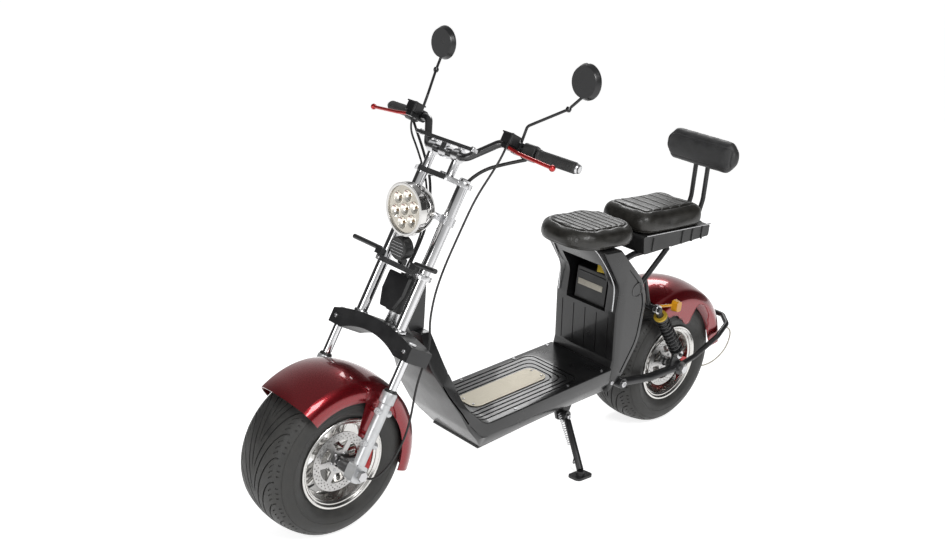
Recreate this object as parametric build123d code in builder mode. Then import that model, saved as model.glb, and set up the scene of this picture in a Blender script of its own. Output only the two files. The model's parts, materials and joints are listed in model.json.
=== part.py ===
"""Electric chopper scooter, parked on its side stand.

Lengths are in millimetres. Three frames are used:
bike frame: upright scooter, origin on the floor under the rear axle, X forward, Y left, Z up;
fork frame: Z runs up the steering axis, X forward from it, Y left, origin level with the front axle;
wheel frame: Y runs along the axle, X forward, Z up, origin at the wheel's centre.
Every piece is built in one of them and then placed in the parked frame, which leans on the stand
and has its origin on the floor under the middle of the whole scooter.
"""
from math import cos, radians, sin, sqrt
import os

from build123d import *

os.makedirs("parts", exist_ok=True)

# Stance
wheelbase = 1410.0
lean = 5.2
rake = 25.0
fork_offset = 42.0
seat_gap = 0.3
running_gap = 0.05

# Tyres
tyre_radius = 230.0
tyre_width = 202.0
crown_radius = 260.0
crown_half_width = 72.0
widest_radius = 185.0

# Rims
rim_lip_radius = 134.0
rim_half_width = 92.0
rim_lip_thickness = 6.0
bead_seat_radius = 120.0
barrel_wall = 6.0
lip_flare_depth = 8.0
spoke_count = 5
spoke_width = 16.0
spoke_gap = 14.0
spoke_thickness = 26.0
spoke_centre_y = 22.0
hub_radius = 36.0
hub_half_width = 66.0
motor_radius = 82.0
axle_radius = 10.0
axle_nut_radius = 15.0
axle_nut_length = 12.0

# Brake discs and calipers
disc_radius = 88.0
disc_thickness = 4.0
disc_band = 24.0
disc_hub_radius = 34.0
disc_arm_width = 12.0
disc_centre_y = 72.0
caliper_gap = 1.5
caliper_wall = 13.0
caliper_length = 62.0
caliper_reach = 34.0
caliper_arm = 7.0
caliper_arm_width = 30.0
caliper_spacer_radius = 17.0

# Front fork
leg_half_spacing = 146.0
stanchion_radius = 13.0
stanchion_foot = 205.0
slider_radius = 17.0
slider_collar_radius = 21.0
slider_collar_height = 30.0
slider_foot = -26.0
slider_top = 234.0
slider_lug_radius = 24.0
tube_half_spacing = 84.0
tube_radius = 16.0
tube_foot = 372.0
tube_top = 838.0
arch_crown = 397.0
arch_crown_end = 370.0
arch_under_crown = 356.0
arch_under_end = 328.0
arch_half_length = 172.0
arch_leg_gap_half = 118.0
arch_front = 62.0
arch_back = -22.0
stem_radius = 19.0
stem_top = 12.0
lower_yoke_height = 545.0
upper_yoke_height = 818.0
yoke_thickness = 15.0
yoke_clamp_wall = 9.0
riser_radius = 12.0
riser_forward = 70.0
riser_half_spacing = 50.0
bar_height = 893.0
bar_radius = 11.0
bar_bend = 34.0
bar_knee = (40.0, 148.0, 968.0)
bar_end = (-16.0, 376.0, 975.0)
bar_seat_half = 78.0
grip_length = 117.0
grip_radius = 16.0
bar_cap_length = 12.0

# Head of the frame
head_tube_radius = 30.0
head_tube_foot = 430.0
head_tube_top = 540.0
neck_plate_half_top = 42.0
neck_plate_half_foot = 24.0
neck_plate_front = 46.0
neck_plate_thickness = 12.0

# Body moulding: height and reach of its side outline
body_half_width = 135.0
belly_half_width = 102.0

# Side stand
stand_pivot = (520.0, 104.0, 160.0)
stand_foot_place = (574.0, 238.0)
stand_leg_radius = 11.0
stand_foot_size = (70.0, 50.0)
stand_foot_thickness = 8.0
stand_lug_radius = 18.0
stand_lug_half = 6.0
stand_pin_radius = 5.0
stand_folded_direction = (-0.97, 0.22, 0.10)

# Rear suspension
arm_pivot = (303.0, 239.0)
arm_half_spacing = 128.0
arm_radius = 14.0
shock_top = (182.0, 478.0)
shock_foot = (22.0, 286.0)
shock_half_spacing = 140.0
shock_radius = 24.0

# Saddles
front_saddle_front = 570.0
front_saddle_back = 272.0
front_saddle_half_width = 124.0
front_saddle_base = 712.0
front_saddle_height = 62.0
rear_saddle_front = 264.0
rear_saddle_back = -62.0
rear_saddle_half_width = 108.0
rear_saddle_base = 726.0
rear_saddle_height = 72.0

# Frames and places worked out from the driving dimensions
fork_forward = Vector(cos(radians(rake)), 0, sin(radians(rake)))
fork_up = Vector(-sin(radians(rake)), 0, cos(radians(rake)))
front_axle = Vector(wheelbase, 0, tyre_radius)
fork_origin = front_axle - fork_forward * fork_offset
fork_frame = Plane(origin=fork_origin, x_dir=fork_forward, z_dir=fork_up).location
front_wheel_place = Location(front_axle)
rear_wheel_place = Location((0, 0, tyre_radius))
bike_frame = Location()
lean_turn = Location((0, 0, 0), (-lean, 0, 0))
floor_level = crown_radius * (cos(radians(lean)) - 1)

tread_drop = crown_radius - sqrt(crown_radius**2 - crown_half_width**2)
bead_half_width = rim_half_width - rim_lip_thickness - seat_gap
stand_foot_z = (floor_level + stand_foot_place[1] * sin(radians(lean))) / cos(radians(lean))
stand_foot = Vector(*stand_foot_place, stand_foot_z)
stand_top = Vector(*stand_pivot)
stand_down = (stand_foot - stand_top).normalized()
stand_folded = Vector(*stand_folded_direction).normalized()
stand_chord = (stand_down - stand_folded).normalized()
stand_axis = (Vector(0, 1, 0) - stand_chord * stand_chord.Y).normalized()
stand_eye = Plane(origin=stand_top, x_dir=stand_axis.cross(stand_down).normalized(), z_dir=stand_axis)
floor_up = Vector(0, -sin(radians(lean)), cos(radians(lean)))

pieces = []


def finish(builder, name, place):
    """Keep a finished piece with its name and the frame that it was built in."""
    pieces.append((builder, name, place))


def add_bar(points, bend, radius, mode=Mode.ADD):
    """Sweep a round bar through the points, every corner bent to one radius."""
    with BuildLine() as route:
        if len(points) == 2:
            Line(*points)
        else:
            FilletPolyline(*points, radius=bend)
    with BuildSketch(route.line ^ 0) as section:
        Circle(radius)
    sweep(section.sketch, path=route.line, mode=mode)


def add_rod(start, end, radius, mode=Mode.ADD):
    """A straight round rod between two points."""
    add_bar([start, end], 0, radius, mode)


def add_side_plate(outline, low_y, high_y, corner=0.0, mode=Mode.ADD):
    """A plate with a side outline of (x, z) points, from low_y to high_y across the scooter."""
    with BuildSketch(Plane.XZ.offset(-high_y)) as section:
        with BuildLine():
            Polyline(*outline, close=True)
        made = make_face()
        if corner:
            fillet(made.vertices(), corner)
    extrude(section.sketch, amount=high_y - low_y, mode=mode)


# Wheels


def build_tyre():
    """A fat tyre: one crown arc, rounded shoulders and sidewalls, beads inside the rim lips."""
    shoulder = (tyre_radius - tread_drop, crown_half_width)
    widest = (widest_radius, tyre_width / 2)
    bead_top = (rim_lip_radius + seat_gap, bead_half_width)
    bead_foot = (bead_seat_radius, bead_half_width)
    with BuildPart() as tyre:
        with BuildSketch(Plane.XY):
            with BuildLine():
                ThreePointArc((shoulder[0], -shoulder[1]), (tyre_radius, 0), shoulder)
                ThreePointArc(shoulder, widest, bead_top)
                Polyline(bead_top, bead_foot, (bead_foot[0], -bead_foot[1]), (bead_top[0], -bead_top[1]))
                ThreePointArc((bead_top[0], -bead_top[1]), (widest[0], -widest[1]), (shoulder[0], -shoulder[1]))
            make_face()
        revolve(axis=Axis.Y)
    return tyre


def build_rim(centre_radius):
    """A cast rim: barrel with lips, paired spokes and a hub of the given radius."""
    seat = bead_seat_radius - seat_gap
    inner = seat - barrel_wall
    lip_inner_y = rim_half_width - rim_lip_thickness
    with BuildPart() as rim:
        with BuildSketch(Plane.XY):
            with BuildLine():
                Polyline(
                    (seat, -lip_inner_y),
                    (seat, lip_inner_y),
                    (rim_lip_radius, lip_inner_y),
                    (rim_lip_radius, rim_half_width),
                    (rim_lip_radius - rim_lip_thickness, rim_half_width),
                    (inner, rim_half_width - lip_flare_depth),
                    (inner, -rim_half_width + lip_flare_depth),
                    (rim_lip_radius - rim_lip_thickness, -rim_half_width),
                    (rim_lip_radius, -rim_half_width),
                    (rim_lip_radius, -lip_inner_y),
                    close=True,
                )
            make_face()
        revolve(axis=Axis.Y)
        spoke_low = spoke_centre_y - spoke_thickness / 2
        reach = inner + barrel_wall / 2
        with BuildSketch(Plane.XZ.offset(-spoke_low - spoke_thickness)):
            with PolarLocations(0, spoke_count):
                with Locations((reach / 2, (spoke_gap + spoke_width) / 2), (reach / 2, -(spoke_gap + spoke_width) / 2)):
                    Rectangle(reach, spoke_width)
        extrude(amount=spoke_thickness)
        with BuildSketch(Plane.XZ.offset(-hub_half_width)):
            Circle(hub_radius)
        extrude(amount=2 * hub_half_width)
        if centre_radius > hub_radius:
            with BuildSketch(Plane.XZ.offset(-spoke_low - spoke_thickness - 6)):
                Circle(centre_radius)
            extrude(amount=spoke_low + spoke_thickness + 6 + hub_half_width - 8)
        with BuildSketch(Plane.XZ.offset(-hub_half_width)):
            Circle(axle_radius + running_gap)
        extrude(amount=2 * hub_half_width, mode=Mode.SUBTRACT)
    return rim


def build_disc():
    """A brake disc: outer band and six arms on a centre ring bolted to the hub's end face."""
    with BuildPart() as disc:
        with BuildSketch(Plane.XZ.offset(-disc_centre_y - disc_thickness / 2)):
            Circle(disc_radius)
            Circle(disc_radius - disc_band, mode=Mode.SUBTRACT)
            with PolarLocations(disc_radius / 2, 6):
                Rectangle(disc_radius - disc_band / 2, disc_arm_width)
            Circle(disc_hub_radius)
            Circle(axle_radius + 6, mode=Mode.SUBTRACT)
        extrude(amount=disc_thickness)
        carrier = disc_centre_y - disc_thickness / 2 - hub_half_width - seat_gap
        with BuildSketch(Plane.XZ.offset(-disc_centre_y + disc_thickness / 2)):
            Circle(disc_hub_radius)
            Circle(axle_radius + 6, mode=Mode.SUBTRACT)
        extrude(amount=carrier)
    return disc


def build_axle(half_length):
    """A wheel spindle with a nut at each end."""
    with BuildPart() as axle:
        with BuildSketch(Plane.XZ.offset(-half_length)):
            Circle(axle_radius)
        extrude(amount=2 * half_length)
        for side in (-1, 1):
            with BuildSketch(Plane.XZ.offset(side * half_length)):
                RegularPolygon(axle_nut_radius, 6)
            extrude(amount=side * axle_nut_length)
    return axle


def build_caliper(turn, seat_y):
    """A caliper straddling its disc, on an arm whose spacer sits on the axle up to seat_y."""
    half = disc_thickness / 2 + caliper_gap + caliper_wall
    face = disc_centre_y + half
    with BuildPart() as caliper:
        with BuildSketch(Plane.XZ.offset(-face)):
            with Locations(Location((0, 0), turn)):
                with Locations((disc_radius - 4, 0)):
                    Rectangle(caliper_reach, caliper_length)
        extrude(amount=2 * half)
        fillet(caliper.edges().filter_by(Axis.Y), 6)
        with BuildSketch(Plane.XZ.offset(-disc_centre_y - disc_thickness / 2 - caliper_gap)):
            Circle(disc_radius + caliper_gap)
        extrude(amount=disc_thickness + 2 * caliper_gap, mode=Mode.SUBTRACT)
        with BuildSketch(Plane.XZ.offset(-face - caliper_arm)):
            with Locations(Location((0, 0), turn)):
                with Locations((disc_radius / 2, 0)):
                    Rectangle(disc_radius, caliper_arm_width)
            Circle(caliper_spacer_radius)
        extrude(amount=caliper_arm)
        with BuildSketch(Plane.XZ.offset(-seat_y + seat_gap)):
            Circle(caliper_spacer_radius)
        extrude(amount=seat_y - seat_gap - face)
        with BuildSketch(Plane.XZ.offset(-seat_y)):
            Circle(axle_radius + seat_gap)
        extrude(amount=seat_y - face, mode=Mode.SUBTRACT)
    return caliper


for end, place, centre in (("front", front_wheel_place, hub_radius), ("rear", rear_wheel_place, motor_radius)):
    finish(build_tyre(), f"{end}_tyre", place)
    finish(build_rim(centre), f"{end}_rim", place)
    finish(build_disc(), f"{end}_disc", place)

finish(build_axle(leg_half_spacing + slider_radius + 6), "front_axle", front_wheel_place)
finish(build_axle(arm_half_spacing + arm_radius + 6), "rear_axle", rear_wheel_place)

# Front fork, in the fork frame

leg_places = [(fork_offset, side * leg_half_spacing) for side in (-1, 1)]
tube_places = [(fork_offset, side * tube_half_spacing) for side in (-1, 1)]

with BuildPart() as fork_sliders:
    with BuildSketch(Plane.XY.offset(slider_foot)):
        with Locations(*leg_places):
            Circle(slider_radius)
    extrude(amount=slider_top - slider_foot)
    with BuildSketch(Plane.XY.offset(slider_top - slider_collar_height)):
        with Locations(*leg_places):
            Circle(slider_collar_radius)
    extrude(amount=slider_collar_height)
    for place in leg_places:
        low_y = place[1] - slider_radius
        add_side_plate([(20, -24), (64, -24), (64, 24), (20, 24)], low_y, low_y + 2 * slider_radius, 10)
    with BuildSketch(Plane.XY.offset(stanchion_foot)):
        with Locations(*leg_places):
            Circle(stanchion_radius + seat_gap)
    extrude(amount=slider_top - stanchion_foot, mode=Mode.SUBTRACT)
    with BuildSketch(Plane.XZ.offset(-leg_half_spacing - 2 * slider_radius)):
        with Locations((fork_offset, 0)):
            Circle(axle_radius + running_gap)
    extrude(amount=2 * leg_half_spacing + 4 * slider_radius, mode=Mode.SUBTRACT)
finish(fork_sliders, "fork_sliders", fork_frame)

with BuildPart() as fork_tubes:
    with BuildSketch(Plane.XY.offset(stanchion_foot + seat_gap)):
        with Locations(*leg_places):
            Circle(stanchion_radius)
    extrude(amount=arch_crown_end - stanchion_foot)
    with BuildSketch(Plane.XY.offset(tube_foot)):
        with Locations(*tube_places):
            Circle(tube_radius)
    extrude(amount=tube_top - tube_foot)
finish(fork_tubes, "fork_tubes", fork_frame)

with BuildPart() as fork_arch:
    with BuildSketch(Plane.YZ.offset(arch_back)):
        with BuildLine():
            ThreePointArc((-arch_half_length, arch_crown_end), (0, arch_crown), (arch_half_length, arch_crown_end))
            Polyline(
                (arch_half_length, arch_crown_end),
                (arch_half_length, arch_under_end),
                (arch_leg_gap_half, arch_under_end),
            )
            ThreePointArc(
                (arch_leg_gap_half, arch_under_end), (0, arch_under_crown), (-arch_leg_gap_half, arch_under_end)
            )
            Polyline(
                (-arch_leg_gap_half, arch_under_end),
                (-arch_half_length, arch_under_end),
                (-arch_half_length, arch_crown_end),
            )
        make_face()
    extrude(amount=arch_front - arch_back)
    with BuildSketch(Plane.XY.offset(arch_under_end - 1)):
        with Locations(*leg_places):
            Circle(stanchion_radius + seat_gap)
    extrude(amount=arch_crown - arch_under_end, mode=Mode.SUBTRACT)
    with BuildSketch(Plane.XY.offset(tube_foot - seat_gap)):
        with Locations(*tube_places):
            Circle(tube_radius + seat_gap)
        Circle(stem_radius + seat_gap)
    extrude(amount=arch_crown - tube_foot + 2, mode=Mode.SUBTRACT)
finish(fork_arch, "fork_arch", fork_frame)

with BuildPart() as lower_yoke:
    with BuildSketch(Plane.XY.offset(lower_yoke_height)):
        Circle(head_tube_radius)
        with Locations(*tube_places):
            Circle(tube_radius + yoke_clamp_wall)
        make_hull()
    extrude(amount=yoke_thickness)
    with BuildSketch(Plane.XY.offset(lower_yoke_height)):
        with Locations(*tube_places):
            Circle(tube_radius + seat_gap)
    extrude(amount=yoke_thickness, mode=Mode.SUBTRACT)
    with BuildSketch(Plane.XY.offset(tube_foot)):
        Circle(stem_radius)
    extrude(amount=lower_yoke_height + yoke_thickness + stem_top - tube_foot)
finish(lower_yoke, "lower_yoke", fork_frame)

riser_places = [(riser_forward, side * riser_half_spacing) for side in (-1, 1)]
with BuildPart() as upper_yoke:
    with BuildSketch(Plane.XY.offset(upper_yoke_height)):
        with Locations(*tube_places):
            Circle(tube_radius + yoke_clamp_wall)
        with Locations(*riser_places):
            Circle(riser_radius + yoke_clamp_wall)
        make_hull()
    extrude(amount=yoke_thickness)
    with BuildSketch(Plane.XY.offset(upper_yoke_height + yoke_thickness)):
        with Locations(*riser_places):
            Circle(riser_radius)
    extrude(amount=bar_height - upper_yoke_height - yoke_thickness)
    for place in riser_places:
        with BuildSketch(Plane.XZ.offset(-place[1] - riser_radius)):
            with Locations((riser_forward, bar_height)):
                Circle(bar_radius + 8)
        extrude(amount=2 * riser_radius)
    with BuildSketch(Plane.XZ.offset(-bar_seat_half - 10)):
        with Locations((riser_forward, bar_height)):
            Circle(bar_radius + seat_gap)
    extrude(amount=2 * bar_seat_half + 20, mode=Mode.SUBTRACT)
    with BuildSketch(Plane.XY.offset(upper_yoke_height)):
        with Locations(*tube_places):
            Circle(tube_radius + seat_gap)
    extrude(amount=yoke_thickness, mode=Mode.SUBTRACT)
finish(upper_yoke, "upper_yoke", fork_frame)

# Handlebar and controls, in the fork frame

bar_knee_point = Vector(*bar_knee)
bar_end_point = Vector(*bar_end)


def mirrored(point, side):
    """A point carried to the left side for 1 and to the right side for -1."""
    return Vector(point.X, side * point.Y, point.Z)


bar_route = [
    bar_end_point,
    bar_knee_point,
    Vector(riser_forward, bar_seat_half, bar_height),
    Vector(riser_forward, -bar_seat_half, bar_height),
    mirrored(bar_knee_point, -1),
    mirrored(bar_end_point, -1),
]
grip_inward = (bar_knee_point - bar_end_point).normalized()


def along_bar(distance, side):
    """The plane across the straight end of the bar, a distance in from its end."""
    inward = mirrored(grip_inward, side)
    return Plane(origin=mirrored(bar_end_point, side) + inward * distance, x_dir=(0, 0, 1), z_dir=inward)


with BuildPart() as handlebar:
    add_bar(bar_route, bar_bend, bar_radius)
    for side in (-1, 1):
        with BuildSketch(along_bar(-seat_gap, side)):
            Circle(grip_radius - 1)
        extrude(amount=-bar_cap_length, taper=18)
        with BuildSketch(along_bar(-seat_gap - 1, side)):
            Circle(bar_radius)
        extrude(amount=8)
finish(handlebar, "handlebar", fork_frame)

with BuildPart() as grips:
    for side in (-1, 1):
        with BuildSketch(along_bar(0, side)):
            Circle(grip_radius)
            Circle(bar_radius + seat_gap, mode=Mode.SUBTRACT)
        extrude(amount=grip_length)
finish(grips, "grips", fork_frame)

switch_inset = grip_length + 4
switch_length = 38.0
with BuildPart() as switch_pods:
    for side in (-1, 1):
        with BuildSketch(along_bar(switch_inset, side)):
            RectangleRounded(44, 36, 12)
            Circle(bar_radius + seat_gap, mode=Mode.SUBTRACT)
        extrude(amount=switch_length)
finish(switch_pods, "switch_pods", fork_frame)

master_inset = switch_inset + switch_length + 6
master_width = 26.0
lever_pivot = Vector(64.0, 200.0, 962.0)
lever_tip = Vector(58.0, 366.0, 946.0)
with BuildPart() as brake_masters:
    for side in (-1, 1):
        with BuildSketch(along_bar(master_inset, side)):
            RectangleRounded(34, 34, 8)
            Circle(bar_radius + seat_gap, mode=Mode.SUBTRACT)
        extrude(amount=master_width)
        pivot = mirrored(lever_pivot, side)
        with BuildSketch(Plane.XY.offset(pivot.Z + 6)):
            with Locations((pivot.X - 2, pivot.Y - side * 4)):
                RectangleRounded(40, 40, 8)
        extrude(amount=26)
        with BuildSketch(Plane.XY.offset(pivot.Z - 8)):
            with Locations((pivot.X - 4, pivot.Y - side * 4)):
                RectangleRounded(36, 26, 5)
        extrude(amount=16)
    add_bar(bar_route, bar_bend, bar_radius + seat_gap, mode=Mode.SUBTRACT)
finish(brake_masters, "brake_masters", fork_frame)

with BuildPart() as brake_levers:
    for side in (-1, 1):
        pivot = mirrored(lever_pivot, side)
        tip = mirrored(lever_tip, side)
        knuckle = mirrored(Vector(70.0, 250.0, 952.0), side)
        add_bar([pivot + Vector(4, -side * 8, -1), knuckle, tip], 60, 5)
        with Locations(tip):
            Sphere(9)
    add(brake_masters.part, mode=Mode.SUBTRACT)
finish(brake_levers, "brake_levers", fork_frame)

mirror_centre = Vector(-18.0, 286.0, 1200.0)
mirror_radius = 50.0
level_forward = Vector(cos(radians(rake)), 0, -sin(radians(rake)))
level_up = Vector(sin(radians(rake)), 0, cos(radians(rake)))
with BuildPart() as mirrors:
    for side in (-1, 1):
        foot = mirrored(bar_end_point, side) + mirrored(grip_inward, side) * (master_inset + master_width / 2)
        stem = [
            foot + Vector(0, 0, bar_radius + 6.65),
            foot + Vector(4, 0, 64),
            mirrored(Vector(-20.0, 268.0, 1118.0), side),
            mirrored(mirror_centre, side) - level_up * (mirror_radius - 12),
        ]
        add_bar(stem, 16, 4)
        head = Plane(origin=mirrored(mirror_centre, side), x_dir=(0, 1, 0), z_dir=level_forward)
        with BuildSketch(head.offset(-8)):
            Circle(mirror_radius)
        extrude(amount=16, taper=24)
finish(mirrors, "mirrors", fork_frame)

crossbar_back = 74.0
crossbar_thickness = 12.0
crossbar_half_length = 118.0
crossbar_low = 914.0
crossbar_depth = 10.0
with BuildPart() as crossbar:
    with BuildSketch(Plane.XY.offset(crossbar_low)):
        with Locations((crossbar_back + crossbar_thickness, 0)):
            RectangleRounded(2 * crossbar_thickness, 2 * crossbar_half_length, 5)
    extrude(amount=crossbar_depth)
    with BuildSketch(Plane.XZ.offset(-14)):
        with Locations((riser_forward, bar_height)):
            Circle(bar_radius + 7)
    extrude(amount=28)
    with BuildSketch(Plane.XZ.offset(-10)):
        with Locations((riser_forward + 12, bar_height + 14)):
            Rectangle(16, 22)
    extrude(amount=20)
    with BuildSketch(Plane.XZ.offset(-20)):
        with Locations((riser_forward, bar_height)):
            Circle(bar_radius + seat_gap)
    extrude(amount=40, mode=Mode.SUBTRACT)
finish(crossbar, "crossbar", fork_frame)

# Lamps and horn, in the fork frame

lamp_centre = Vector(127.0, 0, 702.0)
lamp_side = Vector(0, -1, 0)
lamp_plane = Plane(origin=lamp_centre, x_dir=lamp_side, z_dir=lamp_side.cross(level_forward))
lamp_frame = fork_frame * lamp_plane.location
lamp_radius = 75.0
lamp_depth = 84.0
lens_radius = 66.0
lens_recess = 10.0
bezel_front = 4.0
lamp_back_radius = 18.0
lamp_pivot_depth = 46.0
bracket_clearance = 3.0
with BuildPart() as headlamp:
    with BuildSketch(Plane.XY):
        with BuildLine():
            Polyline(
                (lamp_back_radius, -lamp_depth),
                (0, -lamp_depth),
                (0, -lens_recess),
                (lens_radius, -lens_recess),
                (lens_radius, bezel_front),
                (lamp_radius, bezel_front),
                (lamp_radius, -16),
                (lamp_radius - 4, -22),
            )
            ThreePointArc((lamp_radius - 4, -22), (lamp_radius - 20, -62), (lamp_back_radius, -lamp_depth))
        make_face()
    revolve(axis=Axis.Y)
    pivot_reach = lamp_radius + bracket_clearance - seat_gap
    add_rod((-pivot_reach, -lamp_pivot_depth, 0), (pivot_reach, -lamp_pivot_depth, 0), 7.5)
finish(headlamp, "headlamp", lamp_frame)

with BuildPart() as headlamp_lens:
    with BuildSketch(Plane.XY):
        with BuildLine():
            lens_edge = lens_radius - seat_gap
            Polyline(
                (0, bezel_front),
                (0, seat_gap - lens_recess),
                (lens_edge, seat_gap - lens_recess),
                (lens_edge, 0),
                (lens_radius / 2, bezel_front),
                close=True,
            )
        make_face()
    revolve(axis=Axis.Y)
finish(headlamp_lens, "headlamp_lens", lamp_frame)

bracket_height = 719.0
bracket_reach = 84.0
bracket_ear = 5.0
with BuildPart() as lamp_bracket:
    for side in (-1, 1):
        with BuildSketch(Plane.XY.offset(bracket_height - 12)):
            with Locations((fork_offset, side * tube_half_spacing)):
                Circle(tube_radius + 5)
        extrude(amount=24)
        ear_y = side * (lamp_radius + bracket_clearance + bracket_ear / 2)
        add_side_plate(
            [
                (fork_offset, bracket_height - 10),
                (bracket_reach + 10, bracket_height - 10),
                (bracket_reach + 10, bracket_height + 10),
                (fork_offset, bracket_height + 10),
            ],
            ear_y - bracket_ear / 2,
            ear_y + bracket_ear / 2,
            4,
        )
    with BuildSketch(Plane.XY.offset(bracket_height - 20)):
        with Locations(*tube_places):
            Circle(tube_radius + seat_gap)
    extrude(amount=40, mode=Mode.SUBTRACT)
finish(lamp_bracket, "lamp_bracket", fork_frame)

horn_centre = Vector(78.0, 0, 603.0)
horn_radius = 33.0
horn_depth = 34.0
horn_plane = Plane(origin=horn_centre, x_dir=(0, 1, 0), z_dir=level_forward)
with BuildPart() as horn:
    with BuildSketch(horn_plane.offset(-horn_depth / 2)):
        Circle(horn_radius)
    extrude(amount=horn_depth)
    fillet(horn.edges().filter_by(GeomType.CIRCLE), 5)
    add_side_plate([(46, 560.3), (60, 560.3), (74, 575), (62, 586), (46, 575)], -9, 9)
finish(horn, "horn", fork_frame)

with BuildPart() as front_signals:
    for base_y, tip in ((-84, Vector(62, -212, 577)), (66, Vector(80, 156, 582))):
        with Locations((68, base_y, 569)):
            Box(18, 24, 17.4)
        add_rod(Vector(70, base_y, 577), tip, 7)
finish(front_signals, "front_signals", fork_frame)

# Fenders, in a wheel frame


def build_fender(crown_r, shoulder, skirt, start, sweep_angle, wall=3.0):
    """A fender shell turned about the axle: crown arc, rounded shoulders and side skirts."""
    shoulder_r, shoulder_y = shoulder
    skirt_r, skirt_y = skirt
    bulge_r = (shoulder_r + skirt_r) / 2 + 5
    bulge_y = skirt_y - 2
    ahead = Vector(cos(radians(start)), 0, sin(radians(start)))
    section = Plane(origin=(0, 0, 0), x_dir=ahead, z_dir=ahead.cross(Vector(0, 1, 0)))
    with BuildPart() as fender:
        with BuildSketch(section):
            with BuildLine():
                for inset, flip in ((0, 1), (wall, 1)):
                    outer = (shoulder_r - inset, shoulder_y - inset)
                    ThreePointArc((outer[0], -outer[1]), (crown_r - inset, 0), outer)
                    for side in (-1, 1):
                        ThreePointArc(
                            (outer[0], side * outer[1]),
                            (bulge_r - inset / 2, side * (bulge_y - inset)),
                            (skirt_r, side * (skirt_y - inset)),
                        )
                for side in (-1, 1):
                    Line((skirt_r, side * skirt_y), (skirt_r, side * (skirt_y - wall)))
            make_face()
        revolve(axis=Axis((0, 0, 0), (0, -1, 0)), revolution_arc=sweep_angle)
    return fender


front_fender = build_fender(257.0, (242.0, 96.0), (188.0, 116.0), 52.0, 146.0)
fender_tab = 3.0
tab_low = 90.0
tab_high = 199.0
tab_half_width = 15.0
tab_bolt_radii = (104.0, 172.0)
with front_fender:
    up, ahead = fork_up, fork_forward
    corners = [(tab_low, -tab_half_width), (tab_low, tab_half_width), (tab_high, 40), (tab_high, -40)]
    tab_outline = [((up * r + ahead * w).X, (up * r + ahead * w).Z) for r, w in corners]
    for side in (-1, 1):
        middle = side * (116.0 - fender_tab / 2 - 0.2)
        add_side_plate(tab_outline, middle - fender_tab / 2, middle + fender_tab / 2, 6)
        for r in tab_bolt_radii:
            stud = up * r
            stud_end = side * (leg_half_spacing - slider_radius - seat_gap)
            add_rod((stud.X, middle, stud.Z), (stud.X, stud_end, stud.Z), 6)
finish(front_fender, "front_fender", front_wheel_place)

loop_radius = 9.0
loop_bend = 24.0
loop = [
    (0, arm_half_spacing, 0),
    (-90, arm_half_spacing, 20),
    (-200, arm_half_spacing + 6, 76),
    (-270, 116, 104),
    (-304, 70, 116),
    (-304, -70, 116),
    (-270, -116, 104),
    (-200, -arm_half_spacing - 6, 76),
    (-90, -arm_half_spacing, 20),
    (0, -arm_half_spacing, 0),
]
cross_tube_radius = 9.0
rear_fender = build_fender(285.0, (266.0, 96.0), (196.0, 116.0), 62.0, 108.0)
with rear_fender:
    for side in (-1, 1):
        add_rod((-235, side * 104, 90), (-235, side * 125, 90), 6)
    add_bar(loop, loop_bend, loop_radius + seat_gap, mode=Mode.SUBTRACT)
    tab_end = shock_top[0] - 4
    tab_level = shock_top[1] - tyre_radius
    add_side_plate([(118, 255), (120, 259), (tab_end, tab_level + 4), (tab_end, tab_level)], -20, 20)
    add_rod((shock_top[0], -30, tab_level), (shock_top[0], 30, tab_level), cross_tube_radius + seat_gap, mode=Mode.SUBTRACT)
finish(rear_fender, "rear_fender", rear_wheel_place)

finish(build_caliper(186.0, leg_half_spacing - slider_radius), "front_caliper", front_wheel_place)
finish(build_caliper(198.0, arm_half_spacing - arm_radius), "rear_caliper", rear_wheel_place)

# Frame and body, in the bike frame

head_foot = fork_origin + fork_up * head_tube_foot
head_plane = Plane(origin=head_foot, x_dir=fork_forward, z_dir=fork_up)
head_tube_length = head_tube_top - head_tube_foot
with BuildPart() as main_frame:
    with BuildSketch(head_plane):
        Circle(head_tube_radius)
    extrude(amount=head_tube_length)
    add_side_plate([(1099, 545.3), (1106, 680), (1156, 680), (1190, 606), (1150, 545.3)], -24, 24, 3)
    neck_plane = Plane(origin=fork_origin + fork_forward * neck_plate_front, x_dir=(0, 1, 0), z_dir=fork_forward)
    with BuildSketch(neck_plane):
        with BuildLine():
            Polyline(
                (-neck_plate_half_foot, head_tube_foot + 4),
                (neck_plate_half_foot, head_tube_foot + 4),
                (neck_plate_half_top, head_tube_foot + 50),
                (neck_plate_half_top, head_tube_top - 4),
                (-neck_plate_half_top, head_tube_top - 4),
                (-neck_plate_half_top, head_tube_foot + 50),
                close=True,
            )
        made = make_face()
        fillet(made.vertices(), 6)
    extrude(amount=-neck_plate_thickness)
    with BuildSketch(head_plane.offset(6)):
        Rectangle(2 * (neck_plate_front - neck_plate_thickness / 2), 30)
    extrude(amount=head_tube_length - 12)
    with BuildSketch(head_plane.offset(-60)):
        Circle(stem_radius + running_gap)
    extrude(amount=head_tube_length + 70, mode=Mode.SUBTRACT)
finish(main_frame, "main_frame", bike_frame)

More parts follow.
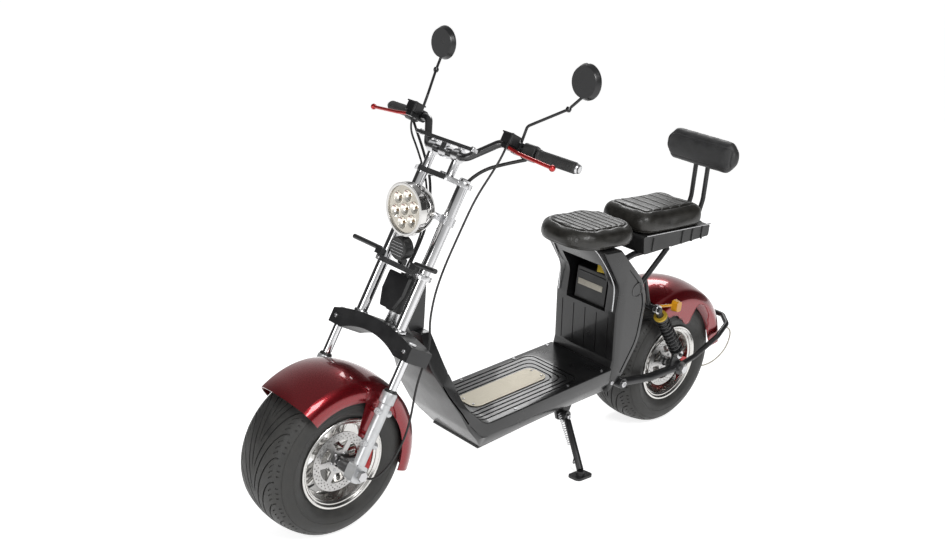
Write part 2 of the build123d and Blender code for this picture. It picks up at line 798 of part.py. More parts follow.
shield_outline = [
    (1135, 545),
    (1115, 440),
    (1060, 352),
    (981, 235),
    (905, 154),
    (579, 196),
    (365, 214),
    (365, 301),
    (916, 243),
    (1000, 312),
    (1061, 445),
    (1098, 545),
]
with BuildPart() as leg_shield:
    add_side_plate(shield_outline, -body_half_width, body_half_width)
    for side in (-1, 1):
        with BuildSketch(Plane.YZ.offset(930)):
            with BuildLine():
                Polyline((side * 135.5, 300), (side * 45, 570), (side * 160, 570), (side * 160, 300), close=True)
            make_face()
        extrude(amount=260, mode=Mode.SUBTRACT)
        for x, rise in ((360, 60), (960, 0)):
            with BuildSketch(Plane.YZ.offset(x)):
                with BuildLine():
                    Polyline(
                        (side * (body_half_width + 0.5), 198 + rise),
                        (side * belly_half_width, 138 + rise),
                        (side * 160, 138 + rise),
                        (side * 160, 198 + rise),
                        close=True,
                    )
                make_face()
        loft(mode=Mode.SUBTRACT)
finish(leg_shield, "leg_shield", bike_frame)

riser_outline = [
    (364.7, 214),
    (300, 268),
    (240, 377),
    (230, 522),
    (270, 595),
    (396, 711),
    (478, 711),
    (380, 584),
    (381, 496),
    (361, 327),
    (364.7, 301),
]
pocket_low = 486.0
pocket_high = 650.0
pocket_back = 292.0
pocket_half_width = 84.0
pocket_slope_start = 590.0
pocket_slope_run = 60.0
pocket_front = 540.0
pocket_outline = [
    (pocket_back, pocket_low),
    (pocket_back, pocket_slope_start),
    (pocket_back + pocket_slope_run, pocket_high),
    (pocket_front, pocket_high),
    (pocket_front, pocket_low),
]
with BuildPart() as seat_riser:
    add_side_plate(riser_outline, -body_half_width + 3, body_half_width - 3)
    add_side_plate(pocket_outline, -pocket_half_width, pocket_half_width, mode=Mode.SUBTRACT)
finish(seat_riser, "seat_riser", bike_frame)

battery_depth = 72.0
battery_height = 112.0
battery_half_width = 64.0
battery_back = pocket_back + seat_gap
battery_low = pocket_low + seat_gap
battery_outline = [
    (battery_back, battery_low),
    (battery_back, pocket_slope_start - 2),
    (battery_back + 14, battery_low + battery_height),
    (battery_back + battery_depth, battery_low + battery_height),
    (battery_back + battery_depth, battery_low),
]
with BuildPart() as battery:
    add_side_plate(battery_outline, -battery_half_width, battery_half_width, 4)
finish(battery, "battery", bike_frame)

floor_plate_back = 560.0
floor_plate_front = 880.0
floor_slope = Vector(916 - 365, 0, 243 - 301).normalized()
floor_plane = Plane(origin=(365, 0, 301), x_dir=floor_slope, z_dir=floor_slope.cross(Vector(0, 1, 0)))
with BuildPart() as floor_plate:
    with BuildSketch(floor_plane):
        with Locations(((floor_plate_back + floor_plate_front) / 2 - 365, 0)):
            RectangleRounded(floor_plate_front - floor_plate_back, 88, 30)
    extrude(amount=3)
finish(floor_plate, "floor_plate", bike_frame)

with BuildPart() as under_frame:
    add_side_plate(
        [(906, 147), (579, 190), (400, 205), (400, 211), (579, 195.7), (905, 153.7)],
        -belly_half_width,
        belly_half_width,
    )
    for low_y in (92, -100):
        add_side_plate(
            [(410, 206), (366, 208), (318, 246), (290, 256), (280, 240), (300, 218), (340, 204)], low_y, low_y + 8
        )
    with BuildSketch(Plane.XZ.offset(-110)):
        with Locations(arm_pivot):
            Circle(8 + running_gap)
    extrude(amount=220, mode=Mode.SUBTRACT)
    with BuildSketch(stand_eye.offset(-stand_lug_half - 0.4)):
        Circle(16)
    extrude(amount=-16)
    with BuildSketch(stand_eye.offset(-stand_lug_half - 4)):
        Circle(stand_pin_radius)
    extrude(amount=2 * stand_lug_half + 4)
    add_side_plate([(498, 146), (542, 146), (561, 193.5), (478, 200)], 78, 88, 4)
finish(under_frame, "under_frame", bike_frame)

# Rear suspension and seat frame, in the bike frame

with BuildPart() as swingarm:
    for side in (-1, 1):
        y = side * arm_half_spacing
        add_bar([(arm_pivot[0], y, arm_pivot[1]), (150, y, 224), (0, y, tyre_radius)], 60, arm_radius)
        with BuildSketch(Plane.XZ.offset(-y - arm_radius)):
            with Locations((0, tyre_radius)):
                Circle(24)
            with Locations(arm_pivot):
                Circle(18)
        extrude(amount=2 * arm_radius)
    with BuildSketch(Plane.XZ.offset(-arm_half_spacing)):
        with Locations(arm_pivot):
            Circle(8)
    extrude(amount=2 * arm_half_spacing)
    add_bar([(x, y, z + tyre_radius) for x, y, z in loop], loop_bend, loop_radius)
    for side in (-1, 1):
        y = side * arm_half_spacing
        add_side_plate([(-6, 238), (46, 238), (34, 296), (10, 296)], y - 4, y + 4, 4)
        add_rod((shock_foot[0], y, shock_foot[1]), (shock_foot[0], side * (shock_half_spacing + 14), shock_foot[1]), 6)
    with BuildSketch(Plane.XZ.offset(-arm_half_spacing - 40)):
        with Locations((0, tyre_radius)):
            Circle(axle_radius + running_gap)
    extrude(amount=2 * arm_half_spacing + 80, mode=Mode.SUBTRACT)
finish(swingarm, "swingarm", bike_frame)

shock_stud_radius = 6.0
shock_eye_half = 8.0
with BuildPart() as rear_shocks:
    for side in (-1, 1):
        y = side * shock_half_spacing
        top = Vector(shock_top[0], y, shock_top[1])
        foot = Vector(shock_foot[0], y, shock_foot[1])
        span = (top - foot).length
        along = Plane(origin=foot, x_dir=(0, 1, 0), z_dir=(top - foot).normalized())
        with BuildSketch(along):
            Circle(7.5)
        extrude(amount=span)
        with BuildSketch(along.offset(34)):
            Circle(shock_radius)
        extrude(amount=span - 78)
        with BuildSketch(Plane.XZ.offset(-y - shock_eye_half)):
            with Locations(shock_top, shock_foot):
                Circle(15)
        extrude(amount=2 * shock_eye_half)
        with BuildSketch(Plane.XZ.offset(-y - 2 * shock_eye_half)):
            with Locations(shock_top):
                Circle(cross_tube_radius + seat_gap)
            with Locations(shock_foot):
                Circle(shock_stud_radius + seat_gap)
        extrude(amount=4 * shock_eye_half, mode=Mode.SUBTRACT)
finish(rear_shocks, "rear_shocks", bike_frame)

rail_half_spacing = 62.0
post_half_spacing = 25.0
post_radius = 8.0
post_bend = 60.0


def post_route(y):
    """The centre line of a backrest post at one distance from the middle."""
    return [(-104, y, 676.5), (-132, y, 785), (-129, y, 930)]


with BuildPart() as seat_rail:
    for side in (-1, 1):
        y = side * rail_half_spacing
        add_bar([(322, y, 634), (250, y, 654), (-104, y, 676.5)], 60, 10)
        add_rod((120, side * 96, 668), (264, side * 108, 552), 9)
        add_rod((shock_top[0], side * 104, shock_top[1]), (225, side * 105, 583), 7)
        add_side_plate([(250, 470), (250, 520), (200, 500), (170, 484), (170, 468)], side * 60 - 4, side * 60 + 4)
        y = side * post_half_spacing
        add_bar(post_route(y), post_bend, post_radius)
    add_rod((-104, -rail_half_spacing, 676.5), (-104, rail_half_spacing, 676.5), 10)
    add_rod((120, -96, 668), (120, 96, 668), 9)
    cross_y = shock_half_spacing + 16
    add_rod((shock_top[0], -cross_y, shock_top[1]), (shock_top[0], cross_y, shock_top[1]), cross_tube_radius)
    add(seat_riser.part, mode=Mode.SUBTRACT)
finish(seat_rail, "seat_rail", bike_frame)

# Saddles and backrest, in the bike frame


def build_saddle(front, back, half_width, base, height, corner):
    """A closed saddle: a rounded plan drawn in towards a smaller crown."""
    with BuildPart() as saddle:
        for lift, inset in ((0, 14), (height * 0.45, 0), (height, 26)):
            with BuildSketch(Plane.XY.offset(base + lift)):
                with Locations(((front + back) / 2, 0)):
                    RectangleRounded(front - back - 2 * inset, 2 * (half_width - inset), corner - inset / 2)
        loft(ruled=True)
    return saddle


front_saddle = build_saddle(
    front_saddle_front, front_saddle_back, front_saddle_half_width, front_saddle_base, front_saddle_height, 100
)
finish(front_saddle, "front_saddle", bike_frame)
rear_saddle = build_saddle(
    rear_saddle_front, rear_saddle_back, rear_saddle_half_width, rear_saddle_base, rear_saddle_height, 48
)
finish(rear_saddle, "rear_saddle", bike_frame)

tray_outline = [(250, 664.4), (-84, 685.7), (-84, 725.7), (262, 725.7)]
with BuildPart() as rear_seat_tray:
    add_side_plate(tray_outline, -104, 104, 8)
    add_rod((120, -106, 668), (120, 106, 668), 9 + seat_gap, mode=Mode.SUBTRACT)
    for side in (-1, 1):
        add_rod((120, side * 96, 668), (264, side * 108, 552), 9 + seat_gap, mode=Mode.SUBTRACT)
finish(rear_seat_tray, "rear_seat_tray", bike_frame)

pad_plane = Plane(origin=(-140, 0, 952), x_dir=(0, 1, 0), z_dir=Vector(1, 0, 0.06).normalized())
with BuildPart() as backrest_pad:
    for depth, inset in ((0, 10), (14, 0), (34, 0), (46, 22)):
        with BuildSketch(pad_plane.offset(depth)):
            with BuildLine():
                Polyline(
                    (-150 + inset, -16),
                    (-118, -56 + inset),
                    (118, -56 + inset),
                    (150 - inset, -16),
                    (150 - inset, 20),
                    (118, 56 - inset),
                    (-118, 56 - inset),
                    (-150 + inset, 20),
                    close=True,
                )
            made = make_face()
            fillet(made.vertices(), 10)
    loft(ruled=True)
    for side in (-1, 1):
        add_bar(post_route(side * post_half_spacing), post_bend, post_radius + seat_gap, mode=Mode.SUBTRACT)
finish(backrest_pad, "backrest_pad", bike_frame)

with BuildPart() as rear_lamps:
    for side in (-1, 1):
        add_rod((shock_top[0] - 4, side * 118, 478), (85, side * 134, 474), 5)
        with BuildSketch(Plane(origin=(85, side * 134, 474), x_dir=(0, 0, 1), z_dir=(0, side, 0))):
            RectangleRounded(40, 30, 10)
        extrude(amount=22, taper=8)
    add_rod(
        (shock_top[0], -shock_half_spacing, shock_top[1]),
        (shock_top[0], shock_half_spacing, shock_top[1]),
        cross_tube_radius + seat_gap,
        mode=Mode.SUBTRACT,
    )
finish(rear_lamps, "rear_lamps", bike_frame)

# Side stand, in the bike frame

with BuildPart() as side_stand:
    with BuildSketch(stand_eye.offset(-stand_lug_half)):
        Circle(stand_lug_radius)
    extrude(amount=2 * stand_lug_half)
    leg_end = stand_foot + floor_up * (stand_foot_thickness + stand_leg_radius) - stand_down * 4
    add_rod(stand_top + stand_down * (stand_leg_radius + 4), leg_end, stand_leg_radius)
    with BuildSketch(Plane(origin=stand_foot, x_dir=(1, 0, 0), z_dir=floor_up)):
        RectangleRounded(*stand_foot_size, 14)
    extrude(amount=stand_foot_thickness)
    with BuildSketch(Plane(origin=stand_foot, x_dir=(1, 0, 0), z_dir=floor_up).offset(1)):
        Circle(stand_leg_radius + 3)
    extrude(amount=stand_leg_radius + stand_foot_thickness, taper=6)
    with BuildSketch(stand_eye.offset(-40)):
        Circle(stand_pin_radius + running_gap)
    extrude(amount=80, mode=Mode.SUBTRACT)
finish(side_stand, "side_stand", bike_frame)

# Park the scooter: lean it on its stand, drop it to the floor and centre it

lifted = Location((0, 0, -floor_level)) * lean_turn
whole = Compound(children=[(lifted * place) * builder.part for builder, _, place in pieces])
reach = whole.bounding_box()
parked = Location((-reach.center().X, -reach.center().Y, 0)) * lifted

for builder, name, place in pieces:
    builder.part = (parked * place) * builder.part
    builder.part.label = name
    export_step(builder.part, f"parts/{name}.step")
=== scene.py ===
"""Looks for the electric chopper scooter: finishes, soft pieces, tread, cables and studio."""

import json
import math

import bmesh
import bpy
from mathutils import Matrix, Vector


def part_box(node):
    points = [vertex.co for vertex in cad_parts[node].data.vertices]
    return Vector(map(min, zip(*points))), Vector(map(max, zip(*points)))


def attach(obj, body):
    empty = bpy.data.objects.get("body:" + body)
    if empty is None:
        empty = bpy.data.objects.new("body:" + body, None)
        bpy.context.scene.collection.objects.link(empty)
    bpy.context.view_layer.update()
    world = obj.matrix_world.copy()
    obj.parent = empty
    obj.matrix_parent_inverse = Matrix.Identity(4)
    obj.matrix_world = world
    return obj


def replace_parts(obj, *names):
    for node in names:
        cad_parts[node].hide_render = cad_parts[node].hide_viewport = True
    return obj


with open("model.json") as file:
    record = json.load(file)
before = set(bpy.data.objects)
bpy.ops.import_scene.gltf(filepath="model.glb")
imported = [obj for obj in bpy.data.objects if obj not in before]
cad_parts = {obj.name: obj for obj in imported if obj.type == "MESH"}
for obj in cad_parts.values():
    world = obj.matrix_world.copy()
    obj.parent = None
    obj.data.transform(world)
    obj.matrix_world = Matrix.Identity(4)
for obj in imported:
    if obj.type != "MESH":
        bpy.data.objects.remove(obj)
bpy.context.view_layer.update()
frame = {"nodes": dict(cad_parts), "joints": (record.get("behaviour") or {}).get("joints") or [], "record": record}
nodes = frame["nodes"]
joints = {joint["name"]: joint for joint in frame["joints"]}

# Frames of the parked scooter, read from its joints

side = Vector(joints["rear_wheel_spin"]["axis"]).normalized()
rear_centre = Vector(joints["rear_wheel_spin"]["pos_m"])
front_centre = Vector(joints["front_wheel_spin"]["pos_m"])
ahead = (front_centre - rear_centre).normalized()
upright = ahead.cross(side)
fork_up = Vector(joints["steering_turn"]["axis"]).normalized()
fork_ahead = side.cross(fork_up)
wheel_radius = 0.230
fork_offset = 0.042


def axes_matrix(x, y, z, origin):
    """A frame's matrix from its three axes and its origin."""
    rows = [[x[i], y[i], z[i], origin[i]] for i in range(3)]
    return Matrix(rows + [[0, 0, 0, 1]])


mm = Matrix.Scale(0.001, 4)
bike_mm = axes_matrix(ahead, side, upright, rear_centre - upright * wheel_radius) @ mm
fork_mm = axes_matrix(fork_ahead, side, fork_up, front_centre - fork_ahead * fork_offset) @ mm
front_mm = axes_matrix(ahead, side, upright, front_centre) @ mm
rear_mm = axes_matrix(ahead, side, upright, rear_centre) @ mm

# A seat is a place, as a matrix from its millimetres, with the body that rides there

on_bike = (bike_mm, "chassis")
on_fork = (fork_mm, "steering")
on_stand = (bike_mm, "side_stand")
on_rear_axle = (rear_mm, "chassis")
wheels = (("front", (front_mm, "front_wheel")), ("rear", (rear_mm, "rear_wheel")))
both = (1, -1)
sides = (("left", 1), ("right", -1))

# Materials


def add_node(tree, kind, operation=None, inputs=()):
    """A shader node whose inputs, by name or number, are linked sockets or plain values."""
    node = tree.nodes.new("ShaderNode" + kind)
    if operation:
        node.operation = operation
    for key, value in dict(inputs).items():
        if isinstance(value, bpy.types.NodeSocket):
            tree.links.new(value, node.inputs[key])
        else:
            node.inputs[key].default_value = value
    return node


def new_material(name):
    """An empty node material with its tree, its shader and its object coordinates."""
    made = bpy.data.materials.new(name)
    made.use_nodes = True
    tree = made.node_tree
    tree.nodes.clear()
    output = add_node(tree, "OutputMaterial")
    shader = add_node(tree, "BsdfPrincipled")
    tree.links.new(shader.outputs["BSDF"], output.inputs["Surface"])
    return made, tree, shader, add_node(tree, "TexCoord").outputs["Object"]


def add_noise(tree, place, scale, detail, stretch=(1, 1, 1)):
    """Noise in object space, in cycles per metre, with an optional stretch."""
    mapping = add_node(tree, "Mapping", None, {"Scale": stretch, "Vector": place})
    spot = mapping.outputs["Vector"]
    return add_node(tree, "TexNoise", None, {"Scale": scale, "Detail": detail, "Vector": spot}).outputs["Fac"]


def add_range(tree, value, low, high, from_low=0.3, from_high=0.7):
    """Map a value to a range, clamped."""
    span = {"From Min": from_low, "From Max": from_high, "To Min": low, "To Max": high, "Value": value}
    return add_node(tree, "MapRange", None, span).outputs["Result"]


def add_bump(tree, shader, value, strength):
    """A bump of up to 0.6 mm on the shader's normal."""
    bump = add_node(tree, "Bump", None, {"Strength": strength, "Distance": 0.0006, "Height": value})
    tree.links.new(bump.outputs["Normal"], shader.inputs["Normal"])


def add_colours(tree, shader, value, low, high):
    """Mix the base colour between two colours by a value."""
    mix = add_node(tree, "Mix")
    mix.data_type = "RGBA"
    mix.inputs[6].default_value = (*low, 1)
    mix.inputs[7].default_value = (*high, 1)
    tree.links.new(value, mix.inputs[0])
    tree.links.new(mix.outputs[2], shader.inputs["Base Color"])


def surface(name, dark, light, metal, rough, grain, bump=0.0, coat=0.0, fine=900, stretch=(1, 1, 1)):
    """A general finish: two close colours, a roughness range and a fine bump.

    rough is (lowest, highest) roughness; grain is the colour noise's scale, fine the bump's.
    """
    made, tree, shader, place = new_material(name)
    shader.inputs["Metallic"].default_value = metal
    shader.inputs["Coat Weight"].default_value = coat
    shader.inputs["Coat Roughness"].default_value = 0.06
    cloud = add_noise(tree, place, grain, 4.0, stretch)
    add_colours(tree, shader, add_range(tree, cloud, 0, 1), dark, light)
    tree.links.new(add_range(tree, cloud, *rough), shader.inputs["Roughness"])
    if bump:
        add_bump(tree, shader, add_noise(tree, place, fine, 2.0, stretch), bump)
    return made


caliper_reach = 0.064


def caliper_paint(name, centre):
    """Red on a caliper's body and dark steel on its bracket, told apart by the distance from the axle."""
    made, tree, shader, place = new_material(name)
    away = add_node(tree, "VectorMath", "DISTANCE", {0: place, 1: centre}).outputs["Value"]
    reach = add_range(tree, away, 0, 1, caliper_reach - 0.0005, caliper_reach + 0.0005)
    add_colours(tree, shader, reach, (0.09, 0.09, 0.092), (0.46, 0.01, 0.01))
    cloud = add_noise(tree, place, 60, 3.0)
    tree.links.new(add_range(tree, cloud, 0.28, 0.42), shader.inputs["Roughness"])
    shader.inputs["Metallic"].default_value = 0.45
    shader.inputs["Coat Weight"].default_value = 0.4
    add_bump(tree, shader, cloud, 0.06)
    return made


# Each row gives the dark and the light colour, metal, roughness, grain, bump, coat, fine and stretch
finish_rows = {
    "tyre": ((0.028, 0.028, 0.027), (0.046, 0.045, 0.042), 0.0, (0.46, 0.62), 30, 0.25, 0.0, 1400),
    "rim_alloy": ((0.58, 0.57, 0.55), (0.7, 0.69, 0.67), 1.0, (0.16, 0.28), 18, 0.05, 0.2),
    "disc_steel": ((0.42, 0.415, 0.41), (0.54, 0.53, 0.52), 1.0, (0.24, 0.38), 60, 0.08),
    "axle_steel": ((0.5, 0.5, 0.51), (0.6, 0.6, 0.61), 1.0, (0.25, 0.4), 50, 0.05),
    "slider_silver": ((0.56, 0.57, 0.58), (0.64, 0.65, 0.66), 0.5, (0.3, 0.4), 25, 0.06, 0.4),
    "fork_chrome": ((0.6, 0.6, 0.61), (0.68, 0.68, 0.69), 1.0, (0.05, 0.1), 12),
    "arch_black": ((0.016, 0.016, 0.017), (0.024, 0.024, 0.025), 0.0, (0.34, 0.5), 20, 0.15),
    "yoke_alloy": ((0.56, 0.56, 0.57), (0.68, 0.68, 0.69), 1.0, (0.16, 0.28), 20, 0.05),
    "bar_black": ((0.012, 0.012, 0.013), (0.02, 0.02, 0.021), 0.0, (0.2, 0.32), 20, 0.0, 0.5),
    "grip_rubber": ((0.02, 0.02, 0.02), (0.03, 0.03, 0.03), 0.0, (0.5, 0.65), 40, 0.3),
    "control_black": ((0.018, 0.018, 0.018), (0.028, 0.028, 0.028), 0.0, (0.35, 0.5), 30, 0.15),
    "master_black": ((0.015, 0.015, 0.016), (0.024, 0.024, 0.025), 0.2, (0.28, 0.42), 30, 0.1),
    "lever_red": ((0.42, 0.012, 0.012), (0.52, 0.02, 0.018), 0.6, (0.2, 0.32), 25, 0.0, 0.5),
    "mirror_black": ((0.012, 0.012, 0.013), (0.02, 0.02, 0.021), 0.0, (0.22, 0.36), 20, 0.08),
    "crossbar_silver": ((0.56, 0.56, 0.57), (0.66, 0.66, 0.67), 1.0, (0.18, 0.3), 20),
    "lamp_chrome": ((0.62, 0.61, 0.6), (0.7, 0.69, 0.67), 1.0, (0.05, 0.1), 12),
    "lamp_lens": ((0.62, 0.58, 0.5), (0.72, 0.68, 0.6), 0.5, (0.12, 0.22), 30),
    "bracket_silver": ((0.56, 0.56, 0.57), (0.66, 0.66, 0.67), 1.0, (0.18, 0.3), 20),
    "horn_black": ((0.015, 0.015, 0.015), (0.025, 0.025, 0.025), 0.1, (0.25, 0.4), 20, 0.1),
    "signal_black": ((0.02, 0.02, 0.021), (0.03, 0.03, 0.031), 0.0, (0.3, 0.45), 20, 0.1),
    "fender_red": ((0.2, 0.002, 0.007), (0.27, 0.004, 0.011), 0.75, (0.24, 0.32), 900, 0.0, 1.0),
    "caliper_red": ((0.42, 0.012, 0.012), (0.52, 0.02, 0.018), 0.5, (0.26, 0.38), 25, 0.0, 0.4),
    "frame_black": ((0.014, 0.014, 0.015), (0.022, 0.022, 0.023), 0.0, (0.3, 0.45), 20, 0.12),
    "body_black": ((0.009, 0.009, 0.0095), (0.015, 0.015, 0.0155), 0.0, (0.26, 0.38), 14, 0.12, 0.3, 1600),
    "battery_black": ((0.012, 0.012, 0.012), (0.02, 0.02, 0.02), 0.0, (0.3, 0.45), 20, 0.12),
    "floor_plate_silver": (
        (0.34, 0.31, 0.25), (0.42, 0.39, 0.32), 0.7, (0.36, 0.5), 30, 0.1, 0.0, 900, (1, 12, 1),
    ),
    "shock_black": ((0.014, 0.014, 0.015), (0.022, 0.022, 0.023), 0.0, (0.25, 0.4), 20, 0.1),
    "saddle_black": ((0.016, 0.015, 0.013), (0.03, 0.028, 0.024), 0.0, (0.34, 0.48), 35, 0.3, 0.15, 700),
    "tray_black": ((0.018, 0.018, 0.018), (0.028, 0.028, 0.028), 0.0, (0.36, 0.5), 20, 0.2),
    "pad_black": ((0.03, 0.03, 0.031), (0.045, 0.045, 0.046), 0.0, (0.45, 0.6), 35, 0.3, 0.0, 800),
    "signal_amber": ((0.75, 0.32, 0.015), (0.85, 0.4, 0.02), 0.0, (0.15, 0.28), 20, 0.0, 0.6),
    "stand_black": ((0.014, 0.014, 0.015), (0.022, 0.022, 0.023), 0.0, (0.3, 0.45), 20, 0.12),
    "lamp_cell": ((0.86, 0.82, 0.74), (0.93, 0.9, 0.83), 0.75, (0.12, 0.22), 30, 0.05),
    "lamp_emitter": ((0.2, 0.13, 0.07), (0.3, 0.2, 0.1), 0.3, (0.15, 0.3), 60),
    "ring_yellow": ((0.55, 0.36, 0.03), (0.66, 0.45, 0.05), 0.3, (0.3, 0.42), 40),
    "ring_orange": ((0.62, 0.16, 0.03), (0.72, 0.22, 0.05), 0.2, (0.3, 0.42), 40),
    "mirror_glass": ((0.82, 0.84, 0.85), (0.86, 0.88, 0.89), 1.0, (0.01, 0.03), 6),
    "label_cream": ((0.6, 0.56, 0.47), (0.68, 0.64, 0.55), 0.0, (0.45, 0.6), 120, 0.05),
    "tag_yellow": ((0.72, 0.5, 0.03), (0.8, 0.57, 0.05), 0.0, (0.4, 0.55), 80, 0.1),
    "hose_black": ((0.012, 0.012, 0.012), (0.02, 0.02, 0.02), 0.0, (0.4, 0.55), 40, 0.15),
}
finishes = {name: surface(name, *row) for name, row in finish_rows.items()}
caliper_paints = {
    "front_caliper": caliper_paint("front_caliper_red", front_centre + side * 0.08),
    "rear_caliper": caliper_paint("rear_caliper_red", rear_centre + side * 0.08),
}
slot_of = {part["node"]: part["material_slot"] for part in frame["record"]["subparts"]}
for name, node in nodes.items():
    node.data.materials.clear()
    node.data.materials.append(caliper_paints.get(name, finishes[slot_of[name]]))

# Builders. A piece is painted with its slot's finish, or with the one that paint names


def dress(made, body, slot, paint=None):
    """Paint an object and seat it on its body."""
    made.data.materials.clear()
    made.data.materials.append(finishes[paint or slot])
    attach(made, body)
    return made


def new_object(name, data):
    """An object in the scene."""
    made = bpy.data.objects.new(name, data)
    bpy.context.scene.collection.objects.link(made)
    return made


def shade(mesh, angle):
    """Smooth shading with the edges above an angle in degrees kept sharp."""
    mesh.shade_smooth()
    mesh.set_sharp_from_angle(angle=math.radians(angle))


def add_mesh(name, vertices, faces, seat, slot, paint=None, angle=35):
    """A smooth mesh with sharp edges kept, from millimetre points."""
    place, body = seat
    mesh = bpy.data.meshes.new(name)
    mesh.from_pydata([place @ Vector(point) for point in vertices], [], faces)
    shaped = bmesh.new()
    shaped.from_mesh(mesh)
    bmesh.ops.remove_doubles(shaped, verts=shaped.verts, dist=0.00001)
    bmesh.ops.recalc_face_normals(shaped, faces=shaped.faces)
    shaped.to_mesh(mesh)
    shaped.free()
    shade(mesh, angle)
    return dress(new_object(name, mesh), body, slot, paint)


def shifted(seat, *spot):
    """A seat moved to a point of its place."""
    place, body = seat
    return place @ Matrix.Translation(spot), body


def rolled(seat, degrees, axis):
    """A seat turned about one of its place's axes."""
    place, body = seat
    return place @ Matrix.Rotation(math.radians(degrees), 4, axis), body


def pointing(seat, point, direction):
    """A seat moved to a point of its place, with its Z axis along a direction."""
    place, body = seat
    turn = Vector(direction).to_track_quat("Z", "Y").to_matrix().to_4x4()
    return place @ Matrix.Translation(Vector(point)) @ turn, body


def polar(radius, turn):
    """A plane point at a radius and a turn."""
    return radius * math.cos(turn), radius * math.sin(turn)


def turned(profile, steps):
    """Vertices and faces of a profile of (radius, height) turned about Z."""
    vertices, faces = [], []
    for step in range(steps):
        turn = math.radians(360.0 * step / steps)
        vertices += [(*polar(r, turn), h) for r, h in profile]
    count = len(profile)
    for step in range(steps):
        here, there = step * count, (step + 1) % steps * count
        faces += [(here + i, there + i, there + i + 1, here + i + 1) for i in range(count - 1)]
    return vertices, faces


def lathe(name, profile, seat, slot, paint=None, steps=48):
    """A turned piece about its place's Z axis."""
    return add_mesh(name, *turned(profile, steps), seat, slot, paint)


def scatter(name, profile, spots, seat, slot, paint=None, steps=16):
    """One mesh of the same turned profile at several (point, direction) spots."""
    vertices, faces = [], []
    own, own_faces = turned(profile, steps)
    for point, direction in spots:
        local, _ = pointing((Matrix(), None), point, direction)
        base = len(vertices)
        vertices += [tuple(local @ Vector(v)) for v in own]
        faces += [tuple(base + i for i in face) for face in own_faces]
    return add_mesh(name, vertices, faces, seat, slot, paint)


def screws(name, spots, radius, height, seat):
    """Several cap screws with their sockets in one mesh, each sunk 1 mm into its seat."""
    profile = [(radius, -1), (radius, height * 0.75), (radius * 0.85, height), (radius * 0.5, height)]
    profile += [(radius * 0.5, height * 0.45), (0, height * 0.45)]
    return scatter(name, profile, spots, seat, "axle_steel")


def tube(name, points, radius, seat, slot, paint=None, smooth=True):
    """A round wire or rod along millimetre points, as one open NURBS or straight spline."""
    place, body = seat
    curve = bpy.data.curves.new(name, "CURVE")
    curve.dimensions = "3D"
    curve.bevel_depth = radius / 1000
    curve.bevel_resolution = 3
    curve.use_fill_caps = True
    curve.resolution_u = 8
    spline = curve.splines.new("NURBS" if smooth else "POLY")
    spline.points.add(len(points) - 1)
    for spot, point in zip(spline.points, points):
        spot.co = (*(place @ Vector(point)), 1)
    if smooth:
        spline.order_u = 3
        spline.use_endpoint_u = True
    return dress(new_object(name, curve), body, slot, paint)


def coil(name, radius, wire, length, turns, seat, slot, paint=None):
    """A helical spring about its place's Z axis, from its foot."""
    steps = int(turns * 16)
    points = []
    for step in range(steps + 1):
        rise = wire + (length - 2 * wire) * step / steps
        points.append((*polar(radius, 2 * math.pi * turns * step / steps), rise))
    return tube(name, points, wire, seat, slot, paint, smooth=False)


def add_box(name, size, seat, slot, paint=None, bevel=1.0):
    """A block with bevelled edges, centred on its place."""
    place, body = seat
    mesh = bpy.data.meshes.new(name)
    shaped = bmesh.new()
    bmesh.ops.create_cube(shaped, size=1.0)
    bmesh.ops.scale(shaped, vec=Vector(size), verts=shaped.verts)
    bmesh.ops.bevel(shaped, geom=shaped.edges[:], offset=bevel, segments=3, profile=0.5, affect="EDGES")
    shaped.transform(place)
    shaped.to_mesh(mesh)
    shaped.free()
    shade(mesh, 40)
    return dress(new_object(name, mesh), body, slot, paint)


def evaluated_mesh(made):
    """The object's mesh with its modifiers applied."""
    graph = bpy.context.evaluated_depsgraph_get()
    return bpy.data.meshes.new_from_object(made.evaluated_get(graph))


def apply_modifiers(made):
    """Put the modifiers into the object's mesh."""
    made.data = evaluated_mesh(made)
    made.modifiers.clear()


def add_bevel(made, width, segments, angle):
    """Round the edges sharper than an angle, by a width in millimetres."""
    edges = made.modifiers.new("edges", "BEVEL")
    edges.width = width / 1000
    edges.segments = segments
    edges.limit_method = "ANGLE"
    edges.angle_limit = math.radians(angle)


# Tyres: one crown arc, round shoulders and a directional road tread

tyre_radius = 230.0
crown_radius = 260.0
crown_half_width = 72.0
crown_centre = tyre_radius - crown_radius
widest_point = Vector((185.0, 101.0))
bead_point = Vector((134.3, 85.7))
bead_foot = Vector((121.0, 85.7))
shoulder_point = Vector((crown_centre + math.sqrt(crown_radius**2 - crown_half_width**2), crown_half_width))
crown_reach = crown_radius * math.asin(crown_half_width / crown_radius)
tread_pitches = 20
groove_sweep = math.radians(54.0)
groove_start = 4.0
groove_end = 80.0
groove_width = 4.2
groove_depth = 4.5
groove_floor = 0.6
dash_rows = ((60.0, 71.5), (84.0, 91.5))
dash_places = (0.25, 0.5, 0.75)
dash_half = 0.035
dash_depth = 2.5
shoulder_round = 6.0


def circle_through(a, b, c):
    """Centre and radius of the circle through three plane points."""
    aa, bb, cc = a.length_squared, b.length_squared, c.length_squared
    d = 2 * (a.x * (b.y - c.y) + b.x * (c.y - a.y) + c.x * (a.y - b.y))
    x = (aa * (b.y - c.y) + bb * (c.y - a.y) + cc * (a.y - b.y)) / d
    y = (aa * (c.x - b.x) + bb * (a.x - c.x) + cc * (b.x - a.x)) / d
    centre = Vector((x, y))
    return centre, (a - centre).length


